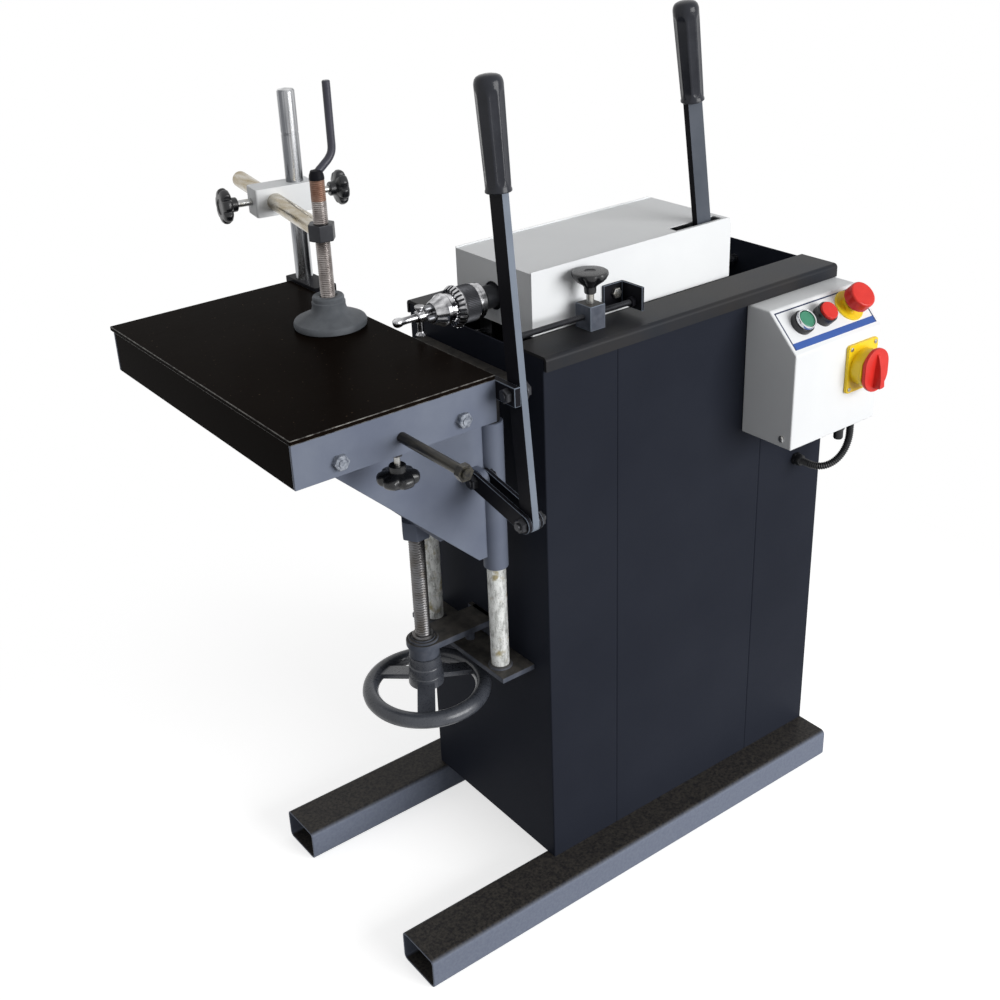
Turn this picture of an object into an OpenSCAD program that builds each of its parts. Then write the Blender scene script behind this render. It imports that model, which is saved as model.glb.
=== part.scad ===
// Horizontal boring machine on a sheet cabinet, with lifting table, hold-down and sliding head.
// Millimetres, +Z up, floor at Z = 0, operator side at -Y, spindle pointing to -X.
// X = 0 at the middle of the feet, Y = 0 at the cabinet's mid-plane.

/* [Feet] */
// Length of each foot tube
foot_length = 800; // [760:5:860]
// Width of each foot tube
foot_width = 75; // [60:1:90]
// Height of each foot tube
foot_height = 50; // [45:1:60]
// Wall of the foot tubes
foot_wall = 3; // [2:0.5:5]
// Distance between the middles of the feet
foot_spacing = 327; // [310:1:340]

/* [Cabinet] */
// Length of the cabinet
cabinet_length = 540; // [525:5:560]
// Width over the side panels
cabinet_width = 295; // [290:1:310]
// Height of the panels
cabinet_height = 796; // [790:1:800]
// Panel sheet
sheet = 2.5; // [1.5:0.5:4]
// Width of the pressed seams in the side panels
seam_width = 3; // [2:0.5:6]
// Depth of the pressed seams
seam_depth = 1; // [0.4:0.1:1.2]
// Distance of the first seam from the front
front_seam = 123; // [80:1:200]
// Distance of the second seam from the back
rear_seam = 137; // [80:1:200]

/* [Rails] */
// Plate of the rails
rail_sheet = 4; // [3:0.5:6]
// Width of each rail
rail_width = 68; // [60:1:69]
// Overhang of each rail over its side panel
rail_overhang = 6.5; // [5:0.5:9]
// Height of the outer lip
rail_lip = 19; // [14:0.5:21]
// Height of the inner lip
rail_inner_lip = 14; // [8:0.5:20]
// Radius of the rolled outer edge
rail_radius = 6; // [4.5:0.5:10]

/* [Head] */
// Diameter of the slide rods
slide_rod_d = 18; // [14:1:20]
// Distance between the slide rods
slide_rod_spacing = 88; // [86:1:90]
// Drop of the slide rods below the panel tops
slide_rod_drop = 31; // [26:1:36]
// Length of the head plate
plate_length = 295; // [280:1:300]
// Thickness of the head plate
plate_thickness = 8; // [6:0.5:9]
// Gap between the panel tops and the head plate
plate_lift = 2; // [1:0.5:4]
// Spindle axis above the rails
spindle_rise = 34.5; // [34:0.1:36]
// Outer diameter of the spindle housing
housing_d = 52; // [50:0.5:53]
// Diameter of the housing's nose
nose_d = 31; // [30:0.5:44]
// Outer diameter of the ball bearings
bearing_d = 47; // [42:0.5:47]
// Width of the ball bearings
bearing_width = 12; // [8:0.5:15]
// Diameter of the spindle
spindle_d = 25; // [20:0.5:28]
// Outer diameter of both pulleys
pulley_d = 56; // [50:1:60]
// Width of both pulleys
pulley_width = 24; // [20:1:28]
// Width of the belt
belt_width = 13; // [10:0.5:15]
// Thickness of the belt
belt_thickness = 8; // [6:0.5:9]
// Belt's mid-plane from the front of the head plate
belt_setback = 245; // [243:1:246]
// Diameter of the motor
motor_d = 140; // [120:1:150]
// Length of the motor
motor_length = 190; // [170:1:200]
// Motor axis below the spindle axis
motor_drop = 244; // [230:1:260]
// Diameter of the motor shaft
motor_shaft_d = 19; // [14:0.5:24]

/* [Cover] */
// Length of the cover
cover_length = 357; // [352:1:362]
// Width of the cover
cover_width = 163; // [162:0.5:168]
// Height of the cover
cover_height = 84; // [80:1:90]
// Cover sheet
cover_sheet = 1.5; // [1:0.25:2]
// Upstand of the side sheets over the top
cover_lip = 2; // [0.5:0.5:4]
// Cover front behind the cabinet front
cover_setback = 37; // [36:0.5:39]
// Length of the lever slot
slot_length = 88; // [80:1:95]
// End of the lever slot behind the lever
slot_tail = 31; // [28:1:33]
// Width of the lever slot
slot_width = 18; // [15:0.5:20]

/* [Chuck] */
// Diameter of the chuck body
chuck_d = 48; // [44:0.5:52]
// Diameter of the toothed ring
ring_d = 57; // [54:0.5:58]
// Teeth on the ring
ring_teeth = 24; // [18:1:30]
// Diameter of the chuck's nose
chuck_nose_d = 28; // [25:0.5:34]
// Diameter of each jaw
jaw_d = 9; // [7:0.5:10]
// Diameter of the key's pilot between the jaws
key_pilot_d = 6; // [5:0.5:8]
// Length of the key outside the jaws
key_length = 40; // [34:1:42]
// Length of the key's cross bar
key_bar_length = 40; // [32:1:42]

/* [Depth stop] */
// Diameter of the stop rod
stop_rod_d = 8; // [6:0.5:10]
// Length of the stop rod
stop_rod_length = 220; // [218:1:230]
// Length of the stop block
stop_block_length = 25; // [20:1:30]
// Height of the stop block
stop_block_height = 33; // [30:1:40]
// Diameter of the stop knob
stop_knob_d = 48; // [42:1:49]

/* [Levers] */
// Width of the head lever's bar
head_bar_width = 26; // [24:0.5:30]
// Thickness of both lever bars
bar_thickness = 10; // [8:0.5:10]
// Lean of the head lever towards the table
head_lean = 8; // [7.6:0.1:8.4]
// Head lever's fulcrum below the rails
fulcrum_drop = 370; // [350:1:380]
// Diameter of the fulcrum pin
fulcrum_pin_d = 14; // [12:0.5:16]
// Diameter of the drive pins and the link bolts
pin_d = 10; // [8:0.5:10]
// Bar of the head lever from its fulcrum to the grip
head_bar_length = 626; // [600:1:660]
// Width of the table lever's bar
table_bar_width = 25; // [24:0.5:28]
// Lean of the table lever towards the far side
table_lean = 5.5; // [5:0.1:6]
// Table lever's pivot below the rails
lever_pivot_drop = 186; // [180:1:195]
// Bar of the table lever from its pivot to the grip
table_bar_length = 409; // [390:1:430]
// Length of the grips
grip_length = 130; // [110:1:140]
// Grip diameter at its lower end
grip_d0 = 30; // [26:0.5:34]
// Grip diameter at its upper end
grip_d1 = 34; // [30:0.5:38]

/* [Lift] */
// Diameter of the guide rods
guide_rod_d = 26; // [24:1:28]
// Distance between the guide rods
guide_rod_spacing = 161; // [156:1:166]
// Guide rods in front of the cabinet
guide_rod_reach = 36; // [33:0.5:36]
// Length of the guide rods
guide_rod_length = 423; // [410:1:430]
// Top of the guide rods below the rails
guide_rod_drop = 50; // [35:1:60]
// Outer diameter of the sleeves
sleeve_d = 34; // [32:0.5:34]
// Lower end of the sleeves below the rails
sleeve_drop = 312; // [300:1:325]
// Length of the sleeves
sleeve_length = 216; // [205:1:220]
// Gusset plate
gusset_thickness = 8; // [5:0.5:10]
// Lift screw in front of the cabinet
screw_reach = 110; // [106:1:114]
// Diameter of the lift screw
lift_screw_d = 23; // [18:0.5:24]
// Top of the lift screw below the rails
lift_screw_drop = 155; // [150:1:170]
// Width of the lift nut across its flats
lift_nut_width = 36; // [33:0.5:40]
// Lower face of the lift nut below the rails
lift_nut_drop = 273; // [268:1:280]
// Lower face of the screw arm below the rails
arm_drop = 448; // [442:1:454]
// Width of the screw arm
arm_width = 50; // [44:1:56]
// Outer diameter of the handwheel
wheel_d = 186; // [176:1:192]
// Diameter of the handwheel's rim
rim_d = 23; // [18:0.5:25]
// Mid-plane of the rim below the screw arm
wheel_drop = 73; // [68:1:80]

/* [Table] */
// Table size along X
table_x = 281; // [275:1:290]
// Table size along Y
table_y = 497; // [490:1:510]
// Table plate
table_thickness = 6; // [5:0.5:8]
// Table top above the rails
table_rise = 3; // [0:0.5:3]
// Table's near edge from the mid-plane
table_near = 159.5; // [155:0.5:165]
// Gap between the table and the cabinet front
table_gap = 82.5; // [81:0.5:85]
// Skirt sheet
skirt = 4.5; // [3:0.5:5]
// Height of the skirt
skirt_height = 55; // [50:0.5:57]
// Overhang of the plate over the front skirt
table_overhang = 0.5; // [0:0.5:6]
// Overhang of the plate over the far skirt
far_overhang = 9.5; // [8.5:0.5:14]
// Diameter of the table's cross guide rods
cross_guide_d = 20; // [16:0.5:22]
// First cross guide from the table's cabinet-side edge
cross_guide_a = 50.5; // [48:0.5:54]
// Second cross guide from the table's cabinet-side edge
cross_guide_b = 221.5; // [215:0.5:222]
// Drop of the cross guides below the table top
cross_guide_drop = 43; // [40:0.5:44]
// Diameter of the lateral stop rod
side_rod_d = 13; // [10:0.5:14]
// Length of the lateral stop rod
side_rod_length = 250; // [230:1:260]
// Diameter of the table lock knob
lock_knob_d = 52; // [44:1:56]

/* [Hold-down] */
// Diameter of the column
column_d = 25; // [20:0.5:28]
// Top of the column above the rails
column_rise = 278; // [260:1:300]
// Swivel of the arm about the column
arm_angle = -9.5; // [-16:0.5:0]
// Length of the clamp block
block_length = 88; // [84:1:94]
// Depth of the clamp block
block_depth = 40; // [36:1:46]
// Height of the clamp block
block_height = 40; // [36:1:44]
// Axis of the cross rod above the rails
cross_rod_rise = 131; // [125:1:150]
// Diameter of the cross rod
cross_rod_d = 24; // [18:0.5:25]
// Length of the cross rod
cross_rod_length = 320; // [280:1:340]
// Width of the hexagon nut across its flats
nut_flats = 32; // [30:0.5:38]
// Height of the hexagon nut
nut_height = 22; // [18:1:30]
// Diameter of the clamp screw
clamp_screw_d = 20; // [16:0.5:22]
// Diameter of the pad
pad_d = 98; // [80:1:104]
// Height of the pad with its collar
pad_height = 42; // [36:1:46]
// Top of the clamp screw above the cross rod
clamp_screw_over = 70; // [60:1:80]
// Throw of the crank
crank_throw = 26; // [20:1:32]
// Length of the crank's upright end
crank_length = 91; // [80:1:100]
// Diameter of the crank
crank_d = 10.5; // [8:0.5:12]
// Diameter of the two clamp knobs
clamp_knob_d = 50; // [40:1:54]

/* [Control box] */
// Width of the box
box_width = 178; // [176:1:190]
// Depth of the box
box_depth = 91.5; // [88:0.5:96]
// Height of the box
box_height = 192; // [188:1:200]
// Rise and run of the sloped face
box_slope = 51; // [46:0.5:54]
// Box sheet
box_sheet = 2; // [1:0.25:2.5]
// Diameter of the start cap
start_d = 24.5; // [20:0.5:25]
// Diameter of the stop cap
stop_d = 27; // [22:0.5:28]
// Diameter of the emergency-stop head
estop_d = 40; // [34:0.5:42]
// Width of the isolator plate
isolator_width = 62; // [56:1:66]
// Height of the isolator plate
isolator_height = 72; // [64:1:76]
// Diameter of the isolator's boss
isolator_boss_d = 56; // [46:1:56]
// Crest diameter of the conduit
conduit_d = 11; // [9:0.5:12]
// Pitch of the conduit's ribs
rib_pitch = 3; // [2.4:0.2:4]

/* [Fits] */
// Radial clearance of pins, shafts and bushes
run_fit = 0.08; // [0.05:0.01:0.1]
// Gap between faces that pass each other
face_gap = 0.5; // [0.4:0.05:0.6]
// Radial clearance of rods that pass through holes
pass_gap = 0.5; // [0.4:0.05:0.7]

/* [Hidden] */
$fn = 48;
eps = 0.01;

// Cabinet and rails
cab_x1 = foot_length / 2;
cab_x0 = cab_x1 - cabinet_length;
side_y = cabinet_width / 2;
cab_z0 = foot_height;
cab_z1 = cab_z0 + cabinet_height;
rail_top = cab_z1 + rail_sheet;
rail_outer = side_y + rail_overhang;

// Head
spindle_z = rail_top + spindle_rise;
plate_z0 = cab_z1 + plate_lift;
plate_z1 = plate_z0 + plate_thickness;
cover_x0 = cab_x0 + cover_setback;
cover_x1 = cover_x0 + cover_length;
cover_y = cover_width / 2;
cover_z1 = plate_z0 + cover_height;
plate_x0 = cover_x0 + 8;
plate_x1 = plate_x0 + plate_length;
plate_y = cover_y - cover_sheet;
slide_z = cab_z1 - slide_rod_drop;
slide_y = slide_rod_spacing / 2;
motor_z = spindle_z - motor_drop;
motor_x0 = plate_x0 + 15;
motor_x1 = motor_x0 + motor_length;
belt_x = plate_x0 + belt_setback;
groove_r = pulley_d / 2 - belt_thickness;
housing_x0 = plate_x0 - 3;
housing_x1 = belt_x - 30;
nose_x0 = housing_x0 - 24;

// Chuck stations along X, going out from the housing nose
chuck_x = nose_x0 - 5;
sleeve_x0 = chuck_x - 8;
ring_x0 = sleeve_x0 - 30;
sleeve_x1 = ring_x0 - 9;
chuck_x1 = sleeve_x1 - 29;
jaw_x1 = chuck_x1 - 11;

// Depth stop
stop_y = -(rail_outer - rail_width / 2 - 13);
stop_z = rail_top + 17;
stop_block_x0 = cab_x0 + 100;
stop_leg_x = cab_x0 + 187;
stop_leg_t = 4;
stop_rod_x0 = cab_x0 - 25;
stop_nut = 6.5;

// Head lever: fulcrum on the cabinet, drive pin on the head plate
fulcrum_z = rail_top - fulcrum_drop;
lever_y = -63;
// Round tang of each lever, inside its grip
tang_length = 90;
slot_z = cover_z1;
// Bush blocks under the sliding plate
bush_inset = 10;
bush_pitch = 170;
bush_length = 40;
lever_slot_x = cover_x0 + 318;
fulcrum_x = lever_slot_x + (slot_z - fulcrum_z) * tan(head_lean);
drive_z = slide_z - 3;
drive_l = (drive_z - fulcrum_z) / cos(head_lean);
drive_x = fulcrum_x - (drive_z - fulcrum_z) * tan(head_lean);

// Lift
guide_rod_z1 = rail_top - guide_rod_drop;
guide_rod_z0 = guide_rod_z1 - guide_rod_length;
sleeve_z0 = rail_top - sleeve_drop;
lift_screw_z1 = rail_top - lift_screw_drop;
lift_nut_z = rail_top - lift_nut_drop;
arm_z = rail_top - arm_drop;
wheel_z = arm_z - wheel_drop;
// Room kept round the handwheel where it turns next to a plate
wheel_room = 4;
lever_pivot_z = rail_top - lever_pivot_drop;
rod_x = cab_x0 - guide_rod_reach;
rod_y = guide_rod_spacing / 2;
screw_x = cab_x0 - screw_reach;
sleeve_z1 = sleeve_z0 + sleeve_length;

// Table
table_z1 = rail_top + table_rise;
table_z0 = table_z1 - table_thickness;
skirt_z0 = table_z0 - skirt_height;
table_x1 = cab_x0 - table_gap;
table_x0 = table_x1 - table_x;
table_y0 = -table_near;
table_y1 = table_y0 + table_y;
skirt_y1 = table_y1 - far_overhang;
guide_z = table_z1 - cross_guide_drop;
guide_xs = [table_x1 - cross_guide_a, table_x1 - cross_guide_b];
bush_d = cross_guide_d + 14;
side_rod_x = table_x1 - 137.5;
side_rod_z = guide_z + 4;
side_rod_y0 = table_y0 - 130;
lock_y = table_y0 + skirt + 10;

// Table lever plane, its lug, links and bolts
lug_x1 = table_x1 + 9;
lever_x0 = lug_x1 + 1;
lever_x1 = lever_x0 + bar_thickness;
link_t = 6;
pivot_y = table_y0 - 39.5;
drive_bolt_z = table_z1 - 19;
drive_rise = drive_bolt_z - lever_pivot_z;
bolt_y = pivot_y + drive_rise * tan(table_lean);
bolt_l = drive_rise / cos(table_lean);
gusset_y0 = -rod_y - gusset_thickness / 2;
anchor_y = gusset_y0 - 15;
anchor_z = lever_pivot_z + 22;

// Hold-down
column_z1 = rail_top + column_rise;
cross_rod_z = rail_top + cross_rod_rise;
column_x = table_x1 + 15.5;
column_y = table_y1 - 16.5;
cross_x = -38;
screw_off = -cross_rod_length / 2 - 40;
block_x0 = -block_length + 22;

// Control box
box_x1 = cab_x1;
box_x0 = box_x1 - box_width;
box_y1 = -side_y;
box_y0 = box_y1 - box_depth;
box_z1 = rail_top - rail_lip - 1;
box_z0 = box_z1 - box_height;
slope_y = box_y0 + box_slope - 22;
slope_z = box_z1 - 22;
start_x = box_x0 + 40;
stop_x = box_x0 + 83;
estop_x = box_x0 + 140;
estop_up = 2;
// Free height under each button cap, a little more than its travel
press_room = 5.5;
isolator_x = box_x0 + 135.5;
isolator_z = box_z0 + 93;
boss_y = box_y0 - 24;
start_r = start_d / 2;
stop_r = stop_d / 2;

// Conduit route, from the gland under the box to the gland on the side panel
gland_x = box_x1 - 11;
gland_y = box_y0 + 31;
entry_x = box_x1 - 57;
entry_z = box_z0 - 82;
route_start = [gland_x, gland_y, box_z0 - 12];
route_leave = [gland_x, gland_y, box_z0 - 28];
route_pull_a = [gland_x + 2, gland_y, box_z0 - 68];
route_pull_b = [entry_x + 4, box_y1 - 64, entry_z - 2];
route_arrive = [entry_x, box_y1 - 28, entry_z];
route_end = [entry_x, box_y1 - 12, entry_z];

// Box between two corners
module span(x0, x1, y0, y1, z0, z1) {
  translate([x0, y0, z0]) cube([x1 - x0, y1 - y0, z1 - z0]);
}

// Round bar along X
module bar_x(x0, x1, y, z, r) {
  translate([x0, y, z]) rotate([0, 90, 0]) cylinder(h = x1 - x0, r = r);
}

// Round bar along Y
module bar_y(y0, y1, x, z, r) {
  translate([x, y0, z]) rotate([-90, 0, 0]) cylinder(h = y1 - y0, r = r);
}

// Round bar along Z
module bar_z(z0, z1, x, y, r) {
  translate([x, y, z0]) cylinder(h = z1 - z0, r = r);
}

// Hexagon along X, given across its flats
module hex_x(x0, x1, y, z, flats) {
  translate([x0, y, z]) rotate([0, 90, 0]) cylinder(h = x1 - x0, d = flats / cos(30), $fn = 6);
}

// Hexagon along Y, given across its flats
module hex_y(y0, y1, x, z, flats) {
  translate([x, y0, z]) rotate([-90, 0, 0]) cylinder(h = y1 - y0, d = flats / cos(30), $fn = 6);
}

// Six-lobed knob standing on Z = 0
module lobed_knob(d, h) {
  cylinder(h = h, d = d * 0.74);
  for (i = [0:5]) rotate([0, 0, i * 60]) translate([d * 0.34, 0, 0]) cylinder(h = h, d = d * 0.32);
  translate([0, 0, -6]) cylinder(h = 6 + eps, d = d * 0.4);
}

// Moulded lever grip standing on Z = 0, with a blind bore for the tang
module lever_grip() {
  rotate_extrude() polygon([[7, 0], [grip_d0 / 2 + 0.8, 0], [grip_d0 / 2 + 0.8, 3], [grip_d0 / 2, 5],
    [grip_d1 / 2, grip_length - 10], [grip_d1 / 2 - 1.5, grip_length - 5],
    [grip_d1 / 2 - 5, grip_length - 1.5], [grip_d1 / 2 - 10, grip_length], [0, grip_length],
    [0, 92], [7, 92]]);
}

// Flat bar standing along Z with round ends about the bores, thickness t along X
module flat_link(l, w, t) {
  translate([0, -w / 2, 0]) cube([t, w, l]);
  rotate([0, 90, 0]) cylinder(h = t, d = w);
  translate([0, 0, l]) rotate([0, 90, 0]) cylinder(h = t, d = w);
}

// Frame of the sloped face: Z is the outward normal
module on_slope(x) {
  translate([x, slope_y, slope_z]) rotate([45, 0, 0]) children();
}

// Frame of the table lever: Z runs up the bar from the pivot
module on_table_lever() {
  translate([lever_x0, pivot_y, lever_pivot_z]) rotate([-table_lean, 0, 0]) children();
}

// Frame of the head lever: Z runs up the bar from the fulcrum
module on_head_lever() {
  translate([fulcrum_x, lever_y, fulcrum_z]) rotate([0, -head_lean, 0]) children();
}

// Frame of the swivelled hold-down arm, about the column
module on_column() {
  translate([column_x, column_y, 0]) rotate([0, 0, arm_angle]) children();
}

// Frame of the clamp screw
module on_clamp_screw() {
  on_column() translate([cross_x, screw_off, 0]) rotate([0, 0, -arm_angle]) children();
}

// Foot tube about the mid-plane
module foot_tube() {
  difference() {
    span(-foot_length / 2, foot_length / 2, -foot_width / 2, foot_width / 2, 0, foot_height);
    span(-foot_length / 2 - 1, foot_length / 2 + 1, -foot_width / 2 + foot_wall, foot_width / 2 - foot_wall,
      foot_wall, foot_height - foot_wall);
  }
}

module foot_tubes() {
  color([0.12, 0.13, 0.15])
    for (y = [-foot_spacing / 2, foot_spacing / 2]) translate([0, y, 0]) foot_tube();
}

module front_panel() {
  color([0.13, 0.14, 0.17]) span(cab_x0, cab_x0 + sheet, sheet - side_y, side_y - sheet, cab_z0, cab_z1);
}

module rear_panel() {
  color([0.13, 0.14, 0.17]) span(cab_x1 - sheet, cab_x1, sheet - side_y, side_y - sheet, cab_z0, cab_z1);
}

// Side panel with two pressed seams, outer face towards -Y
module side_sheet() {
  difference() {
    span(cab_x0, cab_x1, -side_y, sheet - side_y, cab_z0, cab_z1);
    for (x = [cab_x0 + front_seam, cab_x1 - rear_seam])
      span(x - seam_width / 2, x + seam_width / 2, -side_y - 1, seam_depth - side_y,
        cab_z0 - 1, cab_z1 + 1);
  }
}

module near_side_panel() {
  color([0.13, 0.14, 0.17]) side_sheet();
}

module far_side_panel() {
  color([0.13, 0.14, 0.17]) mirror([0, 1, 0]) side_sheet();
}

// Rail section: rolled outer edge, outer lip, flat top, inner lip
module rail_section() {
  roll = [for (a = [180:-15:90]) [rail_radius + rail_radius * cos(a), -rail_radius + rail_radius * sin(a)]];
  polygon(concat([[rail_sheet, -rail_lip], [0, -rail_lip]], roll, [[rail_width, 0],
    [rail_width, -rail_inner_lip], [rail_width - rail_sheet, -rail_inner_lip],
    [rail_width - rail_sheet, -rail_sheet], [rail_sheet, -rail_sheet]]));
}

// Rail along the near side, its inner lip notched round the front and rear panels
module top_rail() {
  lip_y1 = rail_width - rail_outer;
  notch = sheet + face_gap;
  difference() {
    translate([cab_x0, -rail_outer, rail_top]) rotate([90, 0, 90])
      linear_extrude(cabinet_length) rail_section();
    for (x = [cab_x0 - 1, cab_x1 - notch])
      span(x, x + notch + 1, lip_y1 - rail_sheet - eps, lip_y1 + 1, rail_top - rail_inner_lip - 1, cab_z1);
  }
}

module top_rails() {
  color([0.3, 0.31, 0.34]) {
    top_rail();
    mirror([0, 1, 0]) top_rail();
  }
}

module slide_rods() {
  color([0.7, 0.7, 0.72])
    for (y = [-slide_y, slide_y]) bar_x(cab_x0 + sheet, cab_x1 - sheet, y, slide_z, slide_rod_d / 2);
}

// Plate across the front panel, holding one end of both guide rods
module rod_plate(z1) {
  wheel_half = rim_d / 2 + wheel_room;
  difference() {
    span(rod_x - 20, cab_x0, -rod_y - 32, rod_y + 32, z1 - 8, z1);
    bar_z(wheel_z - wheel_half, wheel_z + wheel_half, screw_x, 0, wheel_d / 2 + wheel_room);
  }
}

// Foot plate and head angle of the guide rods and the arm that carries the lift screw
module lift_supports() {
  color([0.12, 0.12, 0.13]) {
    rod_plate(guide_rod_z0);
    rod_plate(guide_rod_z1 + 8);
    span(cab_x0 - 8, cab_x0, -rod_y - 32, rod_y + 32, guide_rod_z1 - 32, guide_rod_z1 + eps);
    screw_arm();
  }
}

module guide_rods() {
  color([0.75, 0.75, 0.77])
    for (y = [-rod_y, rod_y]) bar_z(guide_rod_z0, guide_rod_z1, rod_x, y, guide_rod_d / 2);
}

// Flat arm with a round end and a bush for the lift screw
module screw_arm() {
  difference() {
    union() {
      span(screw_x, cab_x0, -arm_width / 2, arm_width / 2, arm_z, arm_z + 10);
      bar_z(arm_z, arm_z + 10, screw_x, 0, arm_width / 2);
      span(cab_x0 - 8, cab_x0, -arm_width / 2 - 8, arm_width / 2 + 8, arm_z - 22, arm_z + 10);
      bar_z(arm_z - 17, arm_z + 14, screw_x, 0, lift_screw_d / 2 + 10);
    }
    bar_z(arm_z - 20, arm_z + 40, screw_x, 0, lift_screw_d / 2 + run_fit);
  }
}

module fulcrum_bracket() {
  color([0.4, 0.4, 0.42]) {
    span(fulcrum_x - 15, fulcrum_x + 15, sheet - side_y, lever_y - bar_thickness / 2 - 4,
      fulcrum_z - 15, fulcrum_z + 15);
    bar_y(lever_y - bar_thickness / 2 - 4 - eps, lever_y + bar_thickness / 2 + 1, fulcrum_x, fulcrum_z,
      fulcrum_pin_d / 2);
    bar_y(lever_y + bar_thickness / 2 + 1 - eps, lever_y + bar_thickness / 2 + 4, fulcrum_x, fulcrum_z,
      fulcrum_pin_d / 2 + 4);
  }
}

module stop_block() {
  color([0.13, 0.13, 0.14]) difference() {
    span(stop_block_x0, stop_block_x0 + stop_block_length, stop_y - 15, stop_y + 15, rail_top,
      rail_top + stop_block_height);
    bar_x(stop_block_x0 - 1, stop_block_x0 + stop_block_length + 1, stop_y, stop_z,
      stop_rod_d / 2 + pass_gap);
    bar_z(stop_z, rail_top + stop_block_height + 1, stop_block_x0 + stop_block_length / 2, stop_y,
      5 + run_fit);
  }
}

module stop_knob() {
  color([0.06, 0.06, 0.07]) translate([stop_block_x0 + stop_block_length / 2, stop_y, 0]) {
    bar_z(stop_z + stop_rod_d / 2 + 1, rail_top + stop_block_height + 20, 0, 0, 5);
    translate([0, 0, rail_top + stop_block_height + 19]) lobed_knob(stop_knob_d, 24);
  }
}

// Outline of the box across X, shrunk by s on all but the open back
module box_outline(s) {
  k = s * tan(22.5);
  polygon([[box_y1 + s, box_z0 + s], [box_y0 + s, box_z0 + s], [box_y0 + s, box_z1 - box_slope - k],
    [box_y0 + box_slope + k, box_z1 - s], [box_y1 + s, box_z1 - s]]);
}

module control_box() {
  color([0.86, 0.87, 0.88]) difference() {
    translate([box_x0, 0, 0]) rotate([90, 0, 90]) linear_extrude(box_width) box_outline(0);
    translate([box_x0 + box_sheet, 0, 0]) rotate([90, 0, 90]) linear_extrude(box_width - 2 * box_sheet)
      box_outline(box_sheet);
  }
}

// Collars of the start and stop buttons, and the plate ring of the emergency stop with its guide
module button_bezels() {
  color([0.1, 0.1, 0.11]) {
    on_slope(start_x) difference() {
      union() {
        cylinder(h = 9, r = start_r + 4.75);
        cylinder(h = 16, r = start_r + 2.75);
      }
      translate([0, 0, -1]) cylinder(h = 20, r = start_r + pass_gap);
    }
    on_slope(stop_x) difference() {
      cylinder(h = 15, r = stop_r + 2.2);
      translate([0, 0, -1]) cylinder(h = 20, r = stop_r + pass_gap);
    }
    on_slope(estop_x) translate([0, estop_up, 0]) difference() {
      union() {
        cylinder(h = 3, d = estop_d + 7);
        cylinder(h = 8.5, r = 12.5);
      }
      translate([0, 0, -1]) cylinder(h = 20, r = 9 + pass_gap);
    }
  }
}

module start_button() {
  color([0.1, 0.45, 0.28]) on_slope(start_x) translate([0, 0, press_room])
    cylinder(h = 15 - press_room, r = start_r);
}

module stop_button() {
  color([0.75, 0.12, 0.1]) on_slope(stop_x) translate([0, 0, press_room])
    cylinder(h = 19 - press_room, r = stop_r);
}

module estop_button() {
  color([0.8, 0.1, 0.09]) on_slope(estop_x) translate([0, estop_up, 0]) rotate_extrude()
    polygon([[0, press_room], [9, press_room], [9, 14], [14, 15], [14, 16], [estop_d / 2 - 2, 16],
      [estop_d / 2, 19], [estop_d / 2, 26], [estop_d / 2 - 2, 30], [estop_d / 2 - 8, 33], [0, 34]]);
}

module isolator_plate() {
  color([0.9, 0.75, 0.1]) difference() {
    union() {
      span(isolator_x - isolator_width / 2, isolator_x + isolator_width / 2, box_y0 - 5, box_y0,
        isolator_z - isolator_height / 2, isolator_z + isolator_height / 2);
      bar_y(boss_y, box_y0 - 5 + eps, isolator_x, isolator_z, isolator_boss_d / 2);
    }
    bar_y(boss_y - 1, boss_y + 16, isolator_x, isolator_z, 6 + run_fit);
  }
}

// Oval plate with a grip ridge, turning on a round stub
module isolator_handle() {
  r = isolator_boss_d / 2 - 3;
  y1 = boss_y - face_gap;
  y0 = y1 - 6;
  color([0.8, 0.1, 0.09]) {
    bar_y(y1 - 1, boss_y + 15, isolator_x, isolator_z, 6);
    for (z = [isolator_z - 7, isolator_z + 7]) bar_y(y0, y1, isolator_x, z, r);
    span(isolator_x - r, isolator_x + r, y0, y1, isolator_z - 7, isolator_z + 7);
    span(isolator_x - 6, isolator_x + 6, y0 - 11, y0 + eps, isolator_z - r, isolator_z + r);
  }
}

module cable_glands() {
  color([0.07, 0.07, 0.08]) {
    difference() {
      bar_z(box_z0 - 14, box_z0, gland_x, gland_y, conduit_d / 2 + 4.5);
      bar_z(box_z0 - 15, box_z0 - 2, gland_x, gland_y, conduit_d / 2 + 0.4);
    }
    difference() {
      bar_y(box_y1 - 14, box_y1, entry_x, entry_z, conduit_d / 2 + 4.5);
      bar_y(box_y1 - 15, box_y1 - 2, entry_x, entry_z, conduit_d / 2 + 0.4);
    }
    difference() {
      union() {
        bar_z(box_z0 - 20, box_z0, gland_x - 26, gland_y, 9);
        bar_z(box_z0 - 34, box_z0 - 20 + eps, gland_x - 26, gland_y, 7);
      }
      bar_z(box_z0 - 35, box_z0 - 3, gland_x - 26, gland_y, 5);
    }
  }
}

// Point on the bent part of the conduit's route
function bend(t) = pow(1 - t, 3) * route_leave + 3 * t * pow(1 - t, 2) * route_pull_a
  + 3 * t * t * (1 - t) * route_pull_b + pow(t, 3) * route_arrive;

// Ring of eight points about p, square to direction d
function ring(p, d, r) = let (t = d / norm(d), u = cross([1, 0, 0], t) / norm(cross([1, 0, 0], t)),
  v = cross(t, u)) [for (i = [0:7]) p + r * (u * cos(i * 45) + v * sin(i * 45))];

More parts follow.
